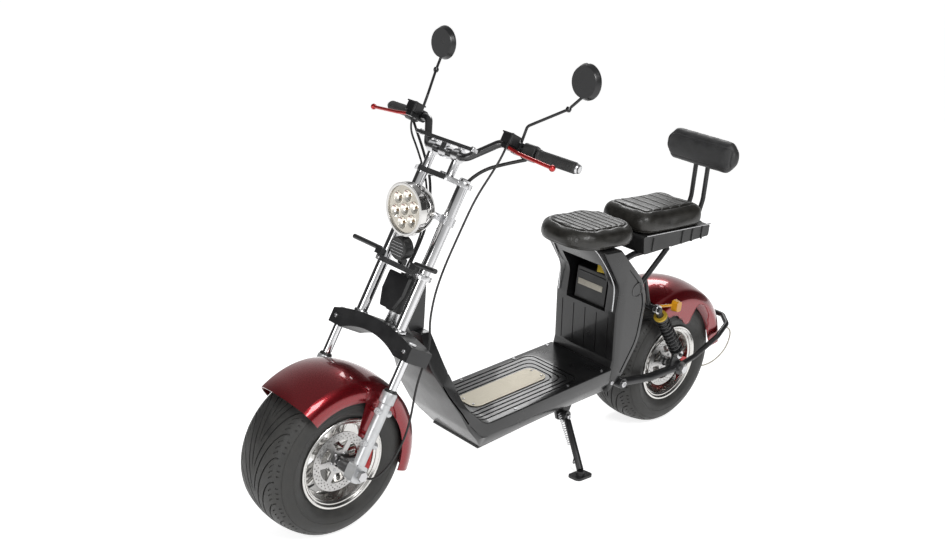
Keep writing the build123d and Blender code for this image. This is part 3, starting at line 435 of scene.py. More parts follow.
wall_centre, wall_radius = circle_through(shoulder_point, widest_point, bead_point)
shoulder_arm, widest_arm = shoulder_point - wall_centre, widest_point - wall_centre
wall_turn = abs(shoulder_arm.angle(widest_arm)) + abs(widest_arm.angle(bead_point - wall_centre))
wall_reach = wall_radius * wall_turn
outline_reach = crown_reach + wall_reach


def tyre_outline(s):
    """The point (radius, y) at a distance s from the crown along the tyre's outline."""
    if s <= crown_reach:
        turn = s / crown_radius
        return Vector((crown_centre + crown_radius * math.cos(turn), crown_radius * math.sin(turn)))
    turn = min((s - crown_reach) / wall_radius, wall_turn)
    x, y = shoulder_arm
    c, n = math.cos(turn), math.sin(turn)
    return wall_centre + Vector((x * c - y * n, x * n + y * c))


def smooth_outline(s):
    """The outline with its shoulder rounded inward, and its inward normal."""
    point = tyre_outline(s)
    if 50 < s < outline_reach - shoulder_round:
        point = (tyre_outline(s - shoulder_round) + point + tyre_outline(s + shoulder_round)) / 3
    along = tyre_outline(min(s + 1, outline_reach)) - tyre_outline(max(s - 1, 0))
    return point, Vector((-along.y, along.x)).normalized()


def groove_lines(s):
    """Places of one pitch's lines at a distance s, in pitches, with the depth of each below the surface."""
    pitch = 2 * math.pi * tyre_radius / tread_pitches
    slope = 2 * groove_sweep * tyre_radius / groove_end * (1 - min(s / groove_end, 1.0))
    half = groove_width * math.sqrt(1 + slope * slope) / pitch / 2
    depth = groove_depth if groove_start < s < groove_end else 0.0
    lines = [(-half, 0.0), (-half * groove_floor, depth), (half * groove_floor, depth), (half, 0.0)]
    cut = dash_depth if any(low < s < high for low, high in dash_rows) else 0.0
    spread = dash_half * (1 - 2 * half)
    foot = spread * groove_floor
    for place in dash_places:
        middle = half + (1 - 2 * half) * place
        lines += [(middle - spread, 0.0), (middle - foot, cut), (middle + foot, cut), (middle + spread, 0.0)]
    return lines


tread_rows = [0, 2, 3.9, 4.8, 8, 12, 16, 20, 25, 30, 35, 40, 45, 50, 55, 59.9, 60.8, 65, 70.8, 71.6, 75, 79]
tread_rows += [80.1, 83.9, 84.6, 88, 91, 91.6, 95]
wall_rows = [(99, 0), (99.6, 0.9), (101, 0.9), (101.6, 0), (108, 0), (116, 0), (124, 0), (132, 0)]
wall_rows += [(132.6, 0.8), (136, 0.8), (136.6, 0), (142, 0), (148, 0), (154, 0), (outline_reach, 0)]


def add_tyre(end, seat):
    """A tyre whose mesh rows sweep with the tread, so that its grooves have clean edges."""
    pitch_turn = 2 * math.pi / tread_pitches
    rings = []
    for s, sink in [(s, None) for s in tread_rows] + wall_rows:
        point, inward = smooth_outline(s)
        sweep = groove_sweep * (1 - (1 - min(s / groove_end, 1.0)) ** 2)
        ring = []
        for pitch in range(tread_pitches):
            for line, depth in groove_lines(s):
                lower = point + inward * (depth if sink is None else sink)
                ring.append((sweep + (pitch + line) * pitch_turn, lower))
        rings.append(ring)
    rings.append([(turn, bead_foot) for turn, _ in rings[-1]])
    around = len(rings[0])
    vertices, faces = [], []
    for flip in both:
        for ring in rings:
            vertices += [(p.x * math.cos(turn), flip * p.y, p.x * math.sin(turn)) for turn, p in ring]
    per_side = len(rings) * around
    last = per_side - around
    for first in (0, per_side):
        for row in range(first, first + last, around):
            for i in range(around):
                a, b = row + i, row + (i + 1) % around
                faces.append((a, b, b + around, a + around))
    for i in range(around):
        a, b = last + i, last + (i + 1) % around
        faces.append((a, b, b + per_side, a + per_side))
    made = add_mesh(f"{end}_tyre_tread", vertices, faces, seat, "tyre", angle=30)
    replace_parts(made, f"{end}_tyre")


for end, seat in wheels:
    add_tyre(end, seat)

# Brake discs: flat curves with rows of holes, in the wheel frames


def ring_points(radius, centre=(0, 0), count=24, start=0.0):
    """Points of a circle in a plane."""
    turns = [start + 2 * math.pi * i / count for i in range(count)]
    return [(centre[0] + radius * math.cos(t), centre[1] + radius * math.sin(t)) for t in turns]


def flat_plate(name, outlines, thickness, seat, slot, round_edge=0.3):
    """A flat plate between closed outlines, the inner ones being its holes."""
    place, body = seat
    curve = bpy.data.curves.new(name, "CURVE")
    curve.dimensions = "2D"
    curve.fill_mode = "BOTH"
    curve.extrude = thickness / 2 - round_edge
    curve.bevel_depth = round_edge
    curve.bevel_resolution = 1
    curve.offset = -round_edge
    for outline in outlines:
        spline = curve.splines.new("POLY")
        spline.points.add(len(outline) - 1)
        for spot, (x, y) in zip(spline.points, outline):
            spot.co = (x, y, 0, 1)
        spline.use_cyclic_u = True
    flat = new_object(name + "_curve", curve)
    mesh = evaluated_mesh(flat)
    bpy.data.objects.remove(flat)
    mesh.name = name
    mesh.transform(place)
    shade(mesh, 30)
    return dress(new_object(name, mesh), body, slot)


disc_radius = 88.0
disc_band = 24.0
disc_centre_y = 72.0
disc_hub_radius = 34.0
disc_bore = 16.2
disc_arms = 6
disc_arm_half = 8.5
hole_rows = ((70, 0), (76, 0.5), (82, 0))
holes_round = 30


def disc_window(middle):
    """A window between two arms, with its arc edges."""
    foot, top = disc_hub_radius + 1, disc_radius - disc_band
    half_foot = math.pi / disc_arms - disc_arm_half / disc_hub_radius
    half_top = math.pi / disc_arms - disc_arm_half / top
    inner = [polar(foot, t) for t in (middle - half_foot, middle, middle + half_foot)]
    return inner + [polar(top, middle + half_top * k / 4) for k in range(4, -5, -1)]


def add_disc(end, seat):
    """A drilled brake disc with six bolts on its carrier."""
    outlines = [ring_points(disc_radius, count=96), ring_points(disc_bore, count=48)]
    outlines += [disc_window((k + 0.5) * 2 * math.pi / disc_arms) for k in range(disc_arms)]
    for radius, shift in hole_rows:
        for k in range(holes_round):
            outlines.append(ring_points(1.9, polar(radius, 2 * math.pi * (k + shift) / holes_round), 10))
    seat = rolled(shifted(seat, 0, disc_centre_y, 0), -90, "X")
    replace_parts(flat_plate(f"{end}_disc_plate", outlines, 4.0, seat, "disc_steel"), f"{end}_disc")
    carrier = [(disc_bore, -2), (disc_bore, -5.5), (33.9, -5.5), (33.9, -2)]
    lathe(f"{end}_disc_carrier", carrier, seat, "axle_steel")
    spots = [((x, y, 2), (0, 0, 1)) for x, y in ring_points(26, count=disc_arms)]
    screws(f"{end}_disc_bolts", spots, 4, 3, seat)


for end, seat in wheels:
    add_disc(end, seat)

# Headlamp: a bright reflector with seven cells, in the lamp's own frame

rake = math.radians(25)
lamp_forward = Vector((math.cos(rake), 0, -math.sin(rake)))
on_lamp = pointing(on_fork, (127, 0, 702), lamp_forward)
cells = [(0, 0)] + ring_points(40.0, count=6, start=math.radians(20))
cell_spots = [((x, y, -0.8), (0, 0, 1)) for x, y in cells]
bowl = [(0, -9), (3, -9), (9, -7.6), (14, -3.5), (16.2, 0), (17, 0.6), (18, 0)]
emitter = [(3.8, -10), (3.8, -6.5), (2.6, -5), (0, -4.4)]
bezel = [(66.0, 2.0), (66.6, 4.4), (69, 5.2), (72.6, 4.6), (74.4, 2.6)]
reflector_rings = [ring_points(65.5, count=72)] + [ring_points(18, cell, 32) for cell in cells]
behind_lens = shifted(on_lamp, 0, 0, -1.2)
made = flat_plate("lamp_reflector", reflector_rings, 1.2, behind_lens, "lamp_lens", 0.2)
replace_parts(made, "headlamp_lens")
scatter("lamp_cells", bowl, cell_spots, on_lamp, "lamp_lens", "lamp_cell", 32)
scatter("lamp_emitters", emitter, cell_spots, on_lamp, "lamp_lens", "lamp_emitter")
lathe("lamp_bezel_ring", bezel, on_lamp, "lamp_chrome", steps=72)

# Horn: bezel and five bars over its mouth

on_horn = pointing(on_fork, (78, 0, 603), lamp_forward)
horn_mouth = 27
lathe("horn_ring", [(26, 16.6), (horn_mouth, 17.6), (31, 17.6), (32.6, 15.8)], on_horn, "horn_black")
for k, level in enumerate((-18, -9, 0, 9, 18)):
    half = math.sqrt(horn_mouth**2 - level**2)
    points = [(-half, level, 17.4), (0, level, 18.2), (half, level, 17.4)]
    tube(f"horn_bar_{k}", points, 1.1, on_horn, "bracket_silver")

# Rear shocks: spring, body, adjuster ring and eyes, in the bike frame

shock_top = Vector((182, 0, 478))
shock_foot = Vector((22, 0, 286))
shock_half_spacing = 140
shock_length = (shock_top - shock_foot).length
shock_core = [(9, 12), (13, 16), (13, 30), (14.5, 32), (14.5, 150), (11, 156), (11, shock_length - 14)]
shock_cap = [(0, -1), (23.4, -1), (23.8, 0), (23.8, 4), (22, 6), (12, 8), (12, 16), (0, 16)]
shock_ring = [(14, -44), (22.6, -44), (23, -43), (23, -35), (22.4, -34), (12, -34)]
shock_ring = [(r, shock_length + h) for r, h in shock_ring]
shock_paints = (("shock_black", "shock_black", "ring_yellow"), ("bracket_silver", "lever_red", "ring_orange"))
for (name, flip), (spring_paint, core_paint, ring_paint) in zip(sides, shock_paints):
    y = flip * shock_half_spacing
    seat = pointing(on_bike, (shock_foot.x, y, shock_foot.z), shock_top - shock_foot)
    made = lathe(f"shock_core_{name}", shock_core, seat, "shock_black", core_paint)
    if flip > 0:
        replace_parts(made, "rear_shocks")
    above_foot = shifted(seat, 0, 0, 32)
    coil(f"shock_spring_{name}", 20.2, 3.3, shock_length - 76, 9.5, above_foot, "shock_black", spring_paint)
    for level, way, label in ((34, -1, "foot"), (shock_length - 46, 1, "head")):
        cap = [(r, way * h) for r, h in shock_cap]
        lathe(f"shock_seat_{label}_{name}", cap, shifted(seat, 0, 0, level), "shock_black")
    lathe(f"shock_ring_{name}", shock_ring, seat, "shock_black", ring_paint)
    for label, spot, hole in (("top", shock_top, 9.3), ("foot", shock_foot, 6.3)):
        eye = [(hole, -8), (14.4, -8), (15, -7.2), (15, 7.2), (14.4, 8), (hole, 8), (hole, -8)]
        eye_seat = pointing(on_bike, (spot.x, y, spot.z), (0, 1, 0))
        lathe(f"shock_eye_{label}_{name}", eye, eye_seat, "axle_steel")

# Rims: turned barrel with a wide lip, a dished web with windows, and the hub


def slot_points(length, width, centre, turn, count=8):
    """Outline of a round-ended slot along a radius."""
    half = (length - width) / 2
    points = []
    for end, start in ((1, -math.pi / 2), (-1, math.pi / 2)):
        for k in range(count + 1):
            x, y = polar(width / 2, start + math.pi * k / count)
            points.append((end * half + x, y))
    spin = Matrix.Rotation(turn, 2)
    return [tuple(spin @ Vector((centre[0] + x, centre[1] + y))) for x, y in points]


def bend(here, before, after, radius, limit, count):
    """Points of a rounded corner between the steps to its neighbours."""
    trim = min(radius / math.tan(before.angle(after) / 2), before.length * limit, after.length * limit)
    start, end = here + before.normalized() * trim, here + after.normalized() * trim
    parts = [k / count for k in range(count + 1)]
    return [tuple((1 - t) ** 2 * start + 2 * t * (1 - t) * here + t**2 * end) for t in parts]


def rounded(points, radius):
    """A closed outline with its corners rounded to one radius."""
    made = []
    for i, corner in enumerate(points):
        here = Vector(corner)
        before, after = Vector(points[i - 1]) - here, Vector(points[(i + 1) % len(points)]) - here
        made += bend(here, before, after, radius, 0.49, 5)
    return made


rim_seat = 119.7
rim_inner = 113.7
web_y = 22.0
rim_windows = 5
window_half_top = 0.36
valve_turn = 0.63
barrel = [(rim_inner, -84), (126, -90), (129, -92), (133, -92), (134, -91), (134, -86.3), (rim_seat, -85.7)]
barrel += [(rim_seat, 85.7), (134, 86.3), (134, 91), (133, 92), (129, 92), (126.5, 90.5), (121, 84)]
barrel += [(114, 80), (rim_inner, 60), (rim_inner, -84)]
motor_shell = [(10.1, -58), (66, -58), (78, -54), (82, -48), (82, 30), (78, 35), (60, 37), (58, 40)]
motor_shell += [(38, 40), (36, 44), (36, 66), (10.1, 66)]
hub_shell = [(10.1, -66), (34, -66), (36, -64), (36, 64), (34, 66), (10.1, 66)]
valve = [(0, -1), (3.2, -1), (3.2, 22), (2.4, 24), (2.4, 28), (0, 28)]


def add_rim(end, seat):
    """A polished rim; the rear one carries the hub motor."""
    motor = end == "rear"
    seat = rolled(seat, -90, "X")
    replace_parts(lathe(f"{end}_rim_barrel", barrel, seat, "rim_alloy", steps=96), f"{end}_rim")
    foot, top = (82 if motor else 36) + 10, rim_inner - 6
    half_foot = 0.2 if motor else 0.24
    outlines = [ring_points(rim_inner + 2, count=96)]
    for k in range(rim_windows):
        middle = 2 * math.pi * k / rim_windows
        window = [polar(foot, middle - half_foot), polar(top, middle - window_half_top)]
        window += [polar(top * 1.05, middle), polar(top, middle + window_half_top)]
        window.append(polar(foot, middle + half_foot))
        outlines.append(rounded(window, 4 if motor else 9))
        if not motor:
            turn = middle + math.pi / rim_windows
            outlines += [slot_points(40, 11, (76, shift), turn) for shift in (-11, 11)]
    flat_plate(f"{end}_rim_web", outlines, 15, shifted(seat, 0, 0, web_y), "rim_alloy", 1.5)
    lathe(f"{end}_hub", motor_shell if motor else hub_shell, seat, "rim_alloy", steps=64)
    if motor:
        spots = [((x, y, 36), (0, 0, 1)) for x, y in ring_points(70, count=12)]
        screws("rear_hub_screws", spots, 3.2, 2.6, seat)
    spot = [((*polar(rim_inner + 1, valve_turn), 52), (-0.8, -0.6, 0.5))]
    scatter(f"{end}_valve", valve, spot, seat, "control_black")


for end, seat in wheels:
    add_rim(end, seat)

# Rear fender: a shell whose skirt hangs in a lobe and then opens in an arch

# Degrees round the axle and the skirt's end radius there
rear_edge = [(62, 206), (74, 200), (80, 194), (88, 174), (96, 156), (101, 151), (105, 154), (107, 184)]
rear_edge += [(109, 214), (113, 227), (122, 232), (132, 224), (140, 205), (149, 187), (156, 186)]
rear_edge += [(170, 195)]
fender_crown = 285.0
fender_shoulder = Vector((266.0, 96.0))
fender_skirt_y = 116.0
fender_wall = 3.0
fender_steps = 160


def edge_radius(turn):
    """The skirt's end radius at a turn about the axle, between the table's points."""
    for (low, start), (high, end) in zip(rear_edge, rear_edge[1:]):
        if turn <= high:
            part = (turn - low) / (high - low)
            return start + (end - start) * (part * part * (3 - 2 * part))
    return rear_edge[-1][1]


def fender_section(reach):
    """Half of the shell's outer section, from its crown to a skirt that ends at a radius."""
    top, width = fender_shoulder
    half = [(fender_crown - (fender_crown - top) * (k / 8) ** 2, width * k / 8) for k in range(9)]
    bulge = Vector((top - 14, fender_skirt_y - 5))
    skirt = Vector((top - 30, fender_skirt_y))
    for k in range(1, 15):
        t = k / 14
        if reach >= skirt.x:
            point = fender_shoulder * (1 - t) + Vector((reach, fender_skirt_y - 2)) * t
            point.y += 5 * math.sin(math.pi * t)
        elif t * 2.2 > 1:
            point = skirt.lerp(Vector((reach, fender_skirt_y)), (t * 2.2 - 1) / 1.2)
        else:
            first = t * 2.2
            point = fender_shoulder * (1 - first) ** 2 + bulge * 2 * first * (1 - first) + skirt * first**2
        half.append((point.x, min(point.y, fender_skirt_y)))
    return half


def fender_turn(step):
    """The turn about the axle at a step along the fender, in degrees."""
    start, end = rear_edge[0][0], rear_edge[-1][0]
    return start + (end - start) * step / fender_steps


vertices, faces, rows = [], [], []
for step in range(fender_steps + 1):
    half = fender_section(edge_radius(fender_turn(step)))
    outer = [(r, -y) for r, y in reversed(half[1:])] + half
    inner = [(r - fender_wall, y * (1 - fender_wall / fender_skirt_y)) for r, y in reversed(outer)]
    angle = math.radians(fender_turn(step))
    rows.append(range(len(vertices), len(vertices) + 2 * len(outer)))
    vertices += [(r * math.cos(angle), y, r * math.sin(angle)) for r, y in outer + inner]
count = len(rows[0])
for one, two in zip(rows, rows[1:]):
    faces += [(one[i], one[(i + 1) % count], two[(i + 1) % count], two[i]) for i in range(count)]
for row in (rows[0], rows[-1]):
    faces += [(row[i], row[i + 1], row[count - 2 - i], row[count - 1 - i]) for i in range(count // 2 - 1)]
made = add_mesh("rear_fender_shell", vertices, faces, on_rear_axle, "fender_red", angle=50)
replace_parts(made, "rear_fender")
for name, flip in sides:
    edge = []
    for step in range(0, fender_steps + 1, 2):
        angle = math.radians(fender_turn(step))
        r = edge_radius(fender_turn(step)) + 0.8
        y = (116 if r < 236 else 114) - 1.5
        edge.append((r * math.cos(angle), flip * y, r * math.sin(angle)))
    tube(f"rear_fender_lip_{name}", edge, 2.2, on_rear_axle, "fender_red", smooth=False)
tab_seat = rolled(shifted(on_rear_axle, 146, 0, 254), 5, "Y")
add_box("rear_fender_tab", (62, 38, 3), tab_seat, "frame_black", bevel=0.6)

# Saddles and pad: foam under stretched cover, puffed by a cloth step, then sewn

to_bike = bike_mm.inverted()
cloth_pressure = 4.0
cloth_frames = 20
pad_back_x = -128.0
panel_inset = 34


def plan_distance(x, y, half_x, half_y, corner):
    """Signed distance to a rounded rectangle, negative inside."""
    dx, dy = abs(x) - half_x + corner, abs(y) - half_y + corner
    return math.hypot(max(dx, 0), max(dy, 0)) + min(max(dx, dy), 0) - corner


def bridge(shaped, foot, top):
    """The faces of a closed block between two loops of vertices."""
    count = len(foot)
    shaped.faces.new(foot[::-1])
    shaped.faces.new(top)
    for i in range(count):
        shaped.faces.new((foot[i], foot[(i + 1) % count], top[(i + 1) % count], top[i]))


def mesh_from(name, shaped):
    """A mesh of a finished bmesh."""
    mesh = bpy.data.meshes.new(name)
    shaped.to_mesh(mesh)
    shaped.free()
    return mesh


def cushion_shape(name, front, back, half, base, height, corner):
    """A closed cushion, full at its sides, as rings of a rounded rectangle."""
    rings = ((0, 12), (0.05, 5), (0.2, 1), (0.5, 0), (0.76, 3), (0.9, 9), (0.97, 18), (1, 32))
    shaped = bmesh.new()
    loops = []
    for part, inset in rings:
        half_x, half_y, r = (front - back) / 2 - inset, half - inset, corner - inset / 2
        loop = []
        for k in range(4):
            cx = (half_x - r) * (1, -1, -1, 1)[k]
            cy = (half_y - r) * (1, 1, -1, -1)[k]
            for step in range(9):
                turn = math.pi / 2 * (k + step / 8)
                x, y = (front + back) / 2 + cx + r * math.cos(turn), cy + r * math.sin(turn)
                loop.append(shaped.verts.new(bike_mm @ Vector((x, y, base + height * part))))
        loops.append(loop)
    count = len(loops[0])
    for low, high in zip(loops, loops[1:]):
        for i in range(count):
            shaped.faces.new((low[i], low[(i + 1) % count], high[(i + 1) % count], high[i]))
    shaped.faces.new(loops[0][::-1])
    shaped.faces.new(loops[-1])
    return mesh_from(name, shaped)


def puff(made, held_spots, cap):
    """Puff a mesh by cloth pressure with some vertices held, each moved by at most cap metres."""
    rest = [vertex.co.copy() for vertex in made.data.vertices]
    held = made.vertex_groups.new(name="held")
    held.add(held_spots, 1.0, "REPLACE")
    cloth = made.modifiers.new("cloth", "CLOTH").settings
    cloth.use_pressure = True
    cloth.uniform_pressure_force = cloth_pressure
    cloth.effector_weights.gravity = 0
    cloth.vertex_group_mass = "held"
    for frame_number in range(1, cloth_frames + 1):
        bpy.context.scene.frame_set(frame_number)
    moved = [vertex.co.copy() for vertex in evaluated_mesh(made).vertices]
    made.modifiers.clear()
    bpy.context.scene.frame_set(1)
    for vertex, start, end in zip(made.data.vertices, rest, moved):
        step = end - start
        vertex.co = start + step * min(1.0, cap / max(step.length, 1e-9))


def add_cushion(name, node, mesh, voxel, cap, sew, slot):
    """A padded piece: a start shape remeshed, puffed by cloth pressure, smoothed, subdivided and sewn."""
    made = new_object(name, mesh)
    remesh = made.modifiers.new("remesh", "REMESH")
    remesh.mode = "VOXEL"
    remesh.voxel_size = voxel
    apply_modifiers(made)
    upright_pad = sew == sew_pad
    spots = [to_bike @ vertex.co for vertex in made.data.vertices]
    low = min(spot.z for spot in spots) + 6
    puff(made, [i for i, p in enumerate(spots) if (p.x < pad_back_x if upright_pad else p.z < low)], cap)
    settle = made.modifiers.new("settle", "SMOOTH")
    settle.factor = 0.5
    settle.iterations = 45 if upright_pad else 14
    made.modifiers.new("smooth", "SUBSURF").levels = 1
    apply_modifiers(made)
    normals = [vertex.normal.copy() for vertex in made.data.vertices]
    for vertex, normal in zip(made.data.vertices, normals):
        vertex.co -= normal * sew(to_bike @ vertex.co, normal) / 1000
    made.data.shade_smooth()
    dress(made, "chassis", slot)
    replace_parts(made, node)


def seam(distance, width, depth):
    """How deep a sewn channel pulls the cover at a distance from its line."""
    return depth * math.exp(-((distance / width) ** 2))


def saddle_sewing(centre, half_x, half_y, corner, first, pitch, width, pull, base_seam):
    """A saddle's sewing: an outline round a panel with crosswise channels, and a seam near its base."""

    def depth_at(point, normal):
        if normal.dot(upright) <= 0.2:
            return seam(point.z - base_seam, 2.4, 1.6) if point.z < base_seam + 9 else 0.0
        d = plan_distance(point.x - centre, point.y, half_x, half_y, corner) + panel_inset
        depth = seam(d, 2.6, 2.6)
        if d < 0:
            near = (point.x - first + pitch / 2) % pitch - pitch / 2
            depth = max(depth, seam(near, width, pull * min(1.0, -d / 8)))
        return depth

    return depth_at


def sew_pad(point, normal):
    """Backrest: one seam round the edge of its face."""
    if normal.dot(ahead) <= 0.2:
        return 0.0
    return seam(plan_distance(point.y, point.z - 952, 150, 56, 34) + 20, 2.4, 2.2)


front_shape = cushion_shape("front_saddle_cover", 567.0, 275.0, 121.0, 713.0, 60.0, 96.0)
sew_front = saddle_sewing(421, 149, 124, 92, 430, 27.0, 3.0, 3.4, 722)
add_cushion("front_saddle_cover", "front_saddle", front_shape, 0.005, 0.004, sew_front, "saddle_black")
rear_shape = cushion_shape("rear_saddle_cover", 261.0, -59.0, 105.0, 727.0, 69.0, 46.0)
sew_rear = saddle_sewing(101, 163, 108, 48, 101, 46.0, 3.4, 4.2, 736)
add_cushion("rear_saddle_cover", "rear_saddle", rear_shape, 0.005, 0.004, sew_rear, "saddle_black")
pad_shape = nodes["backrest_pad"].data.copy()
pad_low, pad_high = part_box("backrest_pad")
pad_middle = (Vector(pad_low) + Vector(pad_high)) / 2
for vertex in pad_shape.vertices:
    vertex.co = pad_middle + (vertex.co - pad_middle) * 0.975
add_cushion("backrest_cover", "backrest_pad", pad_shape, 0.004, 0.005, sew_pad, "pad_black")

# Body moulding: leg shield and floor with ribs, and the seat riser, carved from one outline each


def bent_path(points, count=7):
    """An open path of (x, z, bend radius) points with its corners rounded."""
    made = [tuple(points[0][:2])]
    for before, corner, after in zip(points, points[1:], points[2:]):
        here = Vector(corner[:2])
        if corner[2] == 0:
            made.append(tuple(here))
        else:
            made += bend(here, Vector(before[:2]) - here, Vector(after[:2]) - here, corner[2], 0.48, count)
    made.append(tuple(points[-1][:2]))
    return made


def beside(path, distance):
    """A path moved sideways, to its left for a positive distance."""
    made = []
    for i, point in enumerate(path):
        along = (Vector(path[min(i + 1, len(path) - 1)]) - Vector(path[max(i - 1, 0)])).normalized()
        made.append((point[0] - along.y * distance, point[1] + along.x * distance))
    return made


def band(path, left, right):
    """A closed outline between two distances to a path's left."""
    return beside(path, left) + beside(path, right)[::-1]


def solid(name, blocks):
    """An object of closed blocks, each (outline, low, high, place), along the place's Z axis."""
    shaped = bmesh.new()
    for outline, low, high, place in blocks:
        loops = [[shaped.verts.new(place @ Vector((x, y, z))) for x, y in outline] for z in (low, high)]
        bridge(shaped, *loops)
    bmesh.ops.recalc_face_normals(shaped, faces=shaped.faces)
    return new_object(name, mesh_from(name, shaped))


def carve(made, cutter):
    """Cut one object from another and drop the cutter."""
    cut = made.modifiers.new("cut", "BOOLEAN")
    cut.operation = "DIFFERENCE"
    cut.solver = "EXACT"
    cut.use_self = True
    cut.object = cutter
    apply_modifiers(made)
    bpy.data.objects.remove(cutter)


# The side view's XY plane is the scooter's X and Z, and its Z axis points to the right
side_view = bike_mm @ Matrix(((1, 0, 0, 0), (0, 0, -1, 0), (0, 1, 0, 0), (0, 0, 0, 1)))
front_view = bike_mm @ Matrix(((0, 0, 1, 0), (1, 0, 0, 0), (0, 1, 0, 0), (0, 0, 0, 1)))
half_width = 135.0
cut_half = 135.5
floor_back = Vector((365.0, 301.0))
floor_front = Vector((916.0, 243.0))
fx, fz = (floor_front - floor_back).normalized()
floor_rows = ((fx, 0, -fz, floor_back.x), (0, 1, 0, 0), (fz, 0, fx, floor_back.y), (0, 0, 0, 1))
floor_view = bike_mm @ Matrix(floor_rows)
shield_under = [(1135, 545, 0), (1115, 440, 150), (1060, 352, 200), (981, 235, 150), (905, 154, 10)]
shield_under += [(579, 196, 200)]
shield_over = [(365, 214, 0), (365, 301, 0), (916, 243, 70), (1000, 312, 140), (1061, 445, 200)]
shield_over += [(1098, 545, 0)]
rib_half_widths = (56.0, 74.0, 92.0, 110.0)
rib_width = 6.0
rib_depth = 5.0
rib_join = 505.0
plate_back = 195.0
plate_half_width = 44.0
rib_corner = 34.0


def rib_outline(middle):
    """The U-shaped groove round the floor plate, in the floor's plane."""
    made = []
    for shift in (rib_width / 2, -rib_width / 2):
        reach = middle + shift
        back = plate_back - (reach - plate_half_width)
        bend_radius = rib_corner + shift
        corners = [(rib_join, reach, 0), (back, reach, bend_radius), (back, -reach, bend_radius)]
        corners.append((rib_join, -reach, 0))
        run = bent_path(corners)
        made += run if shift > 0 else run[::-1]
    return made


shield_outline = bent_path(shield_under + shield_over)
shield = solid("leg_shield_moulding", [(shield_outline, -half_width, half_width, side_view)])
waist_cuts = []
for flip in (-1, 1):
    wedge = [(flip * cut_half, 300), (flip * 45, 570), (flip * 160, 570), (flip * 160, 300)]
    waist_cuts.append((wedge[::flip], 930, 1190, front_view))
carve(shield, solid("waist_cuts", waist_cuts))
belly = bmesh.new()
for flip in (-1, 1):
    loops = []
    for x, rise in ((355, 60), (965, 0)):
        corners = [(flip * cut_half, 198), (flip * 102, 138), (flip * 160, 138), (flip * 160, 198)]
        loops.append([belly.verts.new(bike_mm @ Vector((x, y, z + rise))) for y, z in corners])
    bridge(belly, *loops)
bmesh.ops.recalc_face_normals(belly, faces=belly.faces)
carve(shield, new_object("belly_cuts", mesh_from("belly_cuts", belly)))
add_bevel(shield, 6, 3, 38)
apply_modifiers(shield)
floor_ribs = [(rib_outline(middle), -rib_depth, 3, floor_view) for middle in rib_half_widths]
carve(shield, solid("floor_ribs", floor_ribs))
climb = [(866.5, 248.2, 0), (916, 243, 70), (1000, 312, 140), (1061, 445, 200), (1066, 458.5, 0)]
climb_band = band(bent_path(climb, 9), 3, -rib_depth)
climb_ribs = []
for middle in rib_half_widths:
    for flip in (-1, 1):
        low = flip * middle - rib_width / 2
        climb_ribs.append((climb_band, low, low + rib_width, side_view))
carve(shield, solid("climb_ribs", climb_ribs))
seam_runs = (
    [(1079, 391), (1060, 358), (1038, 327), (1010, 290), (988, 262)],
    [(980, 252), (952, 224), (925, 204), (862, 190)],
    [(848, 191), (767, 199), (686, 210)],
)
seam_bands = []
for run in seam_runs:
    path = bent_path([(x, z, 60) for x, z in run])
    shallow = min(cut_half - max(z - 300, 0) / 3 for x, z in path)
    for flip in (-1, 1):
        low, high = (shallow - 5, 140) if flip > 0 else (-140, 5 - shallow)
        seam_bands.append((band(path, 2.4, -2.4), low, high, side_view))
carve(shield, solid("seam_bands", seam_bands))
shade(shield.data, 30)
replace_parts(dress(shield, "chassis", "body_black"), "leg_shield")

riser_back = [(364.7, 214, 0), (300, 268, 50), (240, 377, 160), (230, 522, 160), (270, 595, 120)]
riser_back += [(396, 711, 0)]
riser_front = [(478, 711, 0), (380, 584, 60), (381, 496, 60), (361, 327, 20), (364.7, 301, 0)]
riser_half = 132.0
riser_outline = bent_path(riser_back + riser_front)
riser = solid("seat_riser_moulding", [(riser_outline, -riser_half, riser_half, side_view)])
add_bevel(riser, 7, 3, 38)
apply_modifiers(riser)
cuts = [([(292, 486), (540, 486), (540, 650), (352, 650), (292, 590)], -84, 84, side_view)]
for y in (-100, -50, 0, 50, 100):
    cuts.append((band([(361.6, 332), (378.2, 472)], -3, 3.0), y - 1.6, y + 1.6, side_view))
back_path = bent_path([(300, 268, 0), (240, 377, 160), (230, 522, 160), (270, 595, 120), (330, 650, 0)])
for flip in (-1, 1):
    low, high = (riser_half - 3, riser_half + 4) if flip > 0 else (-riser_half - 4, -riser_half + 3)
    cuts.append((band(back_path, -18, -24), low, high, side_view))
carve(riser, solid("riser_cuts", cuts))
shade(riser.data, 30)
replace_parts(dress(riser, "chassis", "body_black"), "seat_riser")
boss_profile = [(26, -1), (25.5, 0.8), (23, 1.8), (20.5, 1.2), (19, -1.2), (0, -1.6)]
for name, flip in sides:
    seat = pointing(on_bike, (291, flip * riser_half, 561), (0, flip, 0))
    lathe(f"riser_boss_{name}", boss_profile, seat, "body_black")

# Softer edges on the carried-over pieces, by millimetres

edge_widths = {
    4.0: ["fork_arch"],
    3.0: ["rear_seat_tray"],
    2.5: ["switch_pods", "front_caliper", "rear_caliper", "battery"],
    2.0: ["mirrors", "rear_lamps"],
    1.5: ["lower_yoke", "upper_yoke", "crossbar", "main_frame"],
    1.2: ["under_frame", "side_stand"],
    0.8: ["floor_plate"],
}
for width, names in edge_widths.items():
    for name in names:
        nodes[name].modifiers.new("weld", "WELD").merge_threshold = 0.00002
        add_bevel(nodes[name], width, 2, 40)

# Fork: tubes, seals, lugs, caps and bolts, in the fork frame

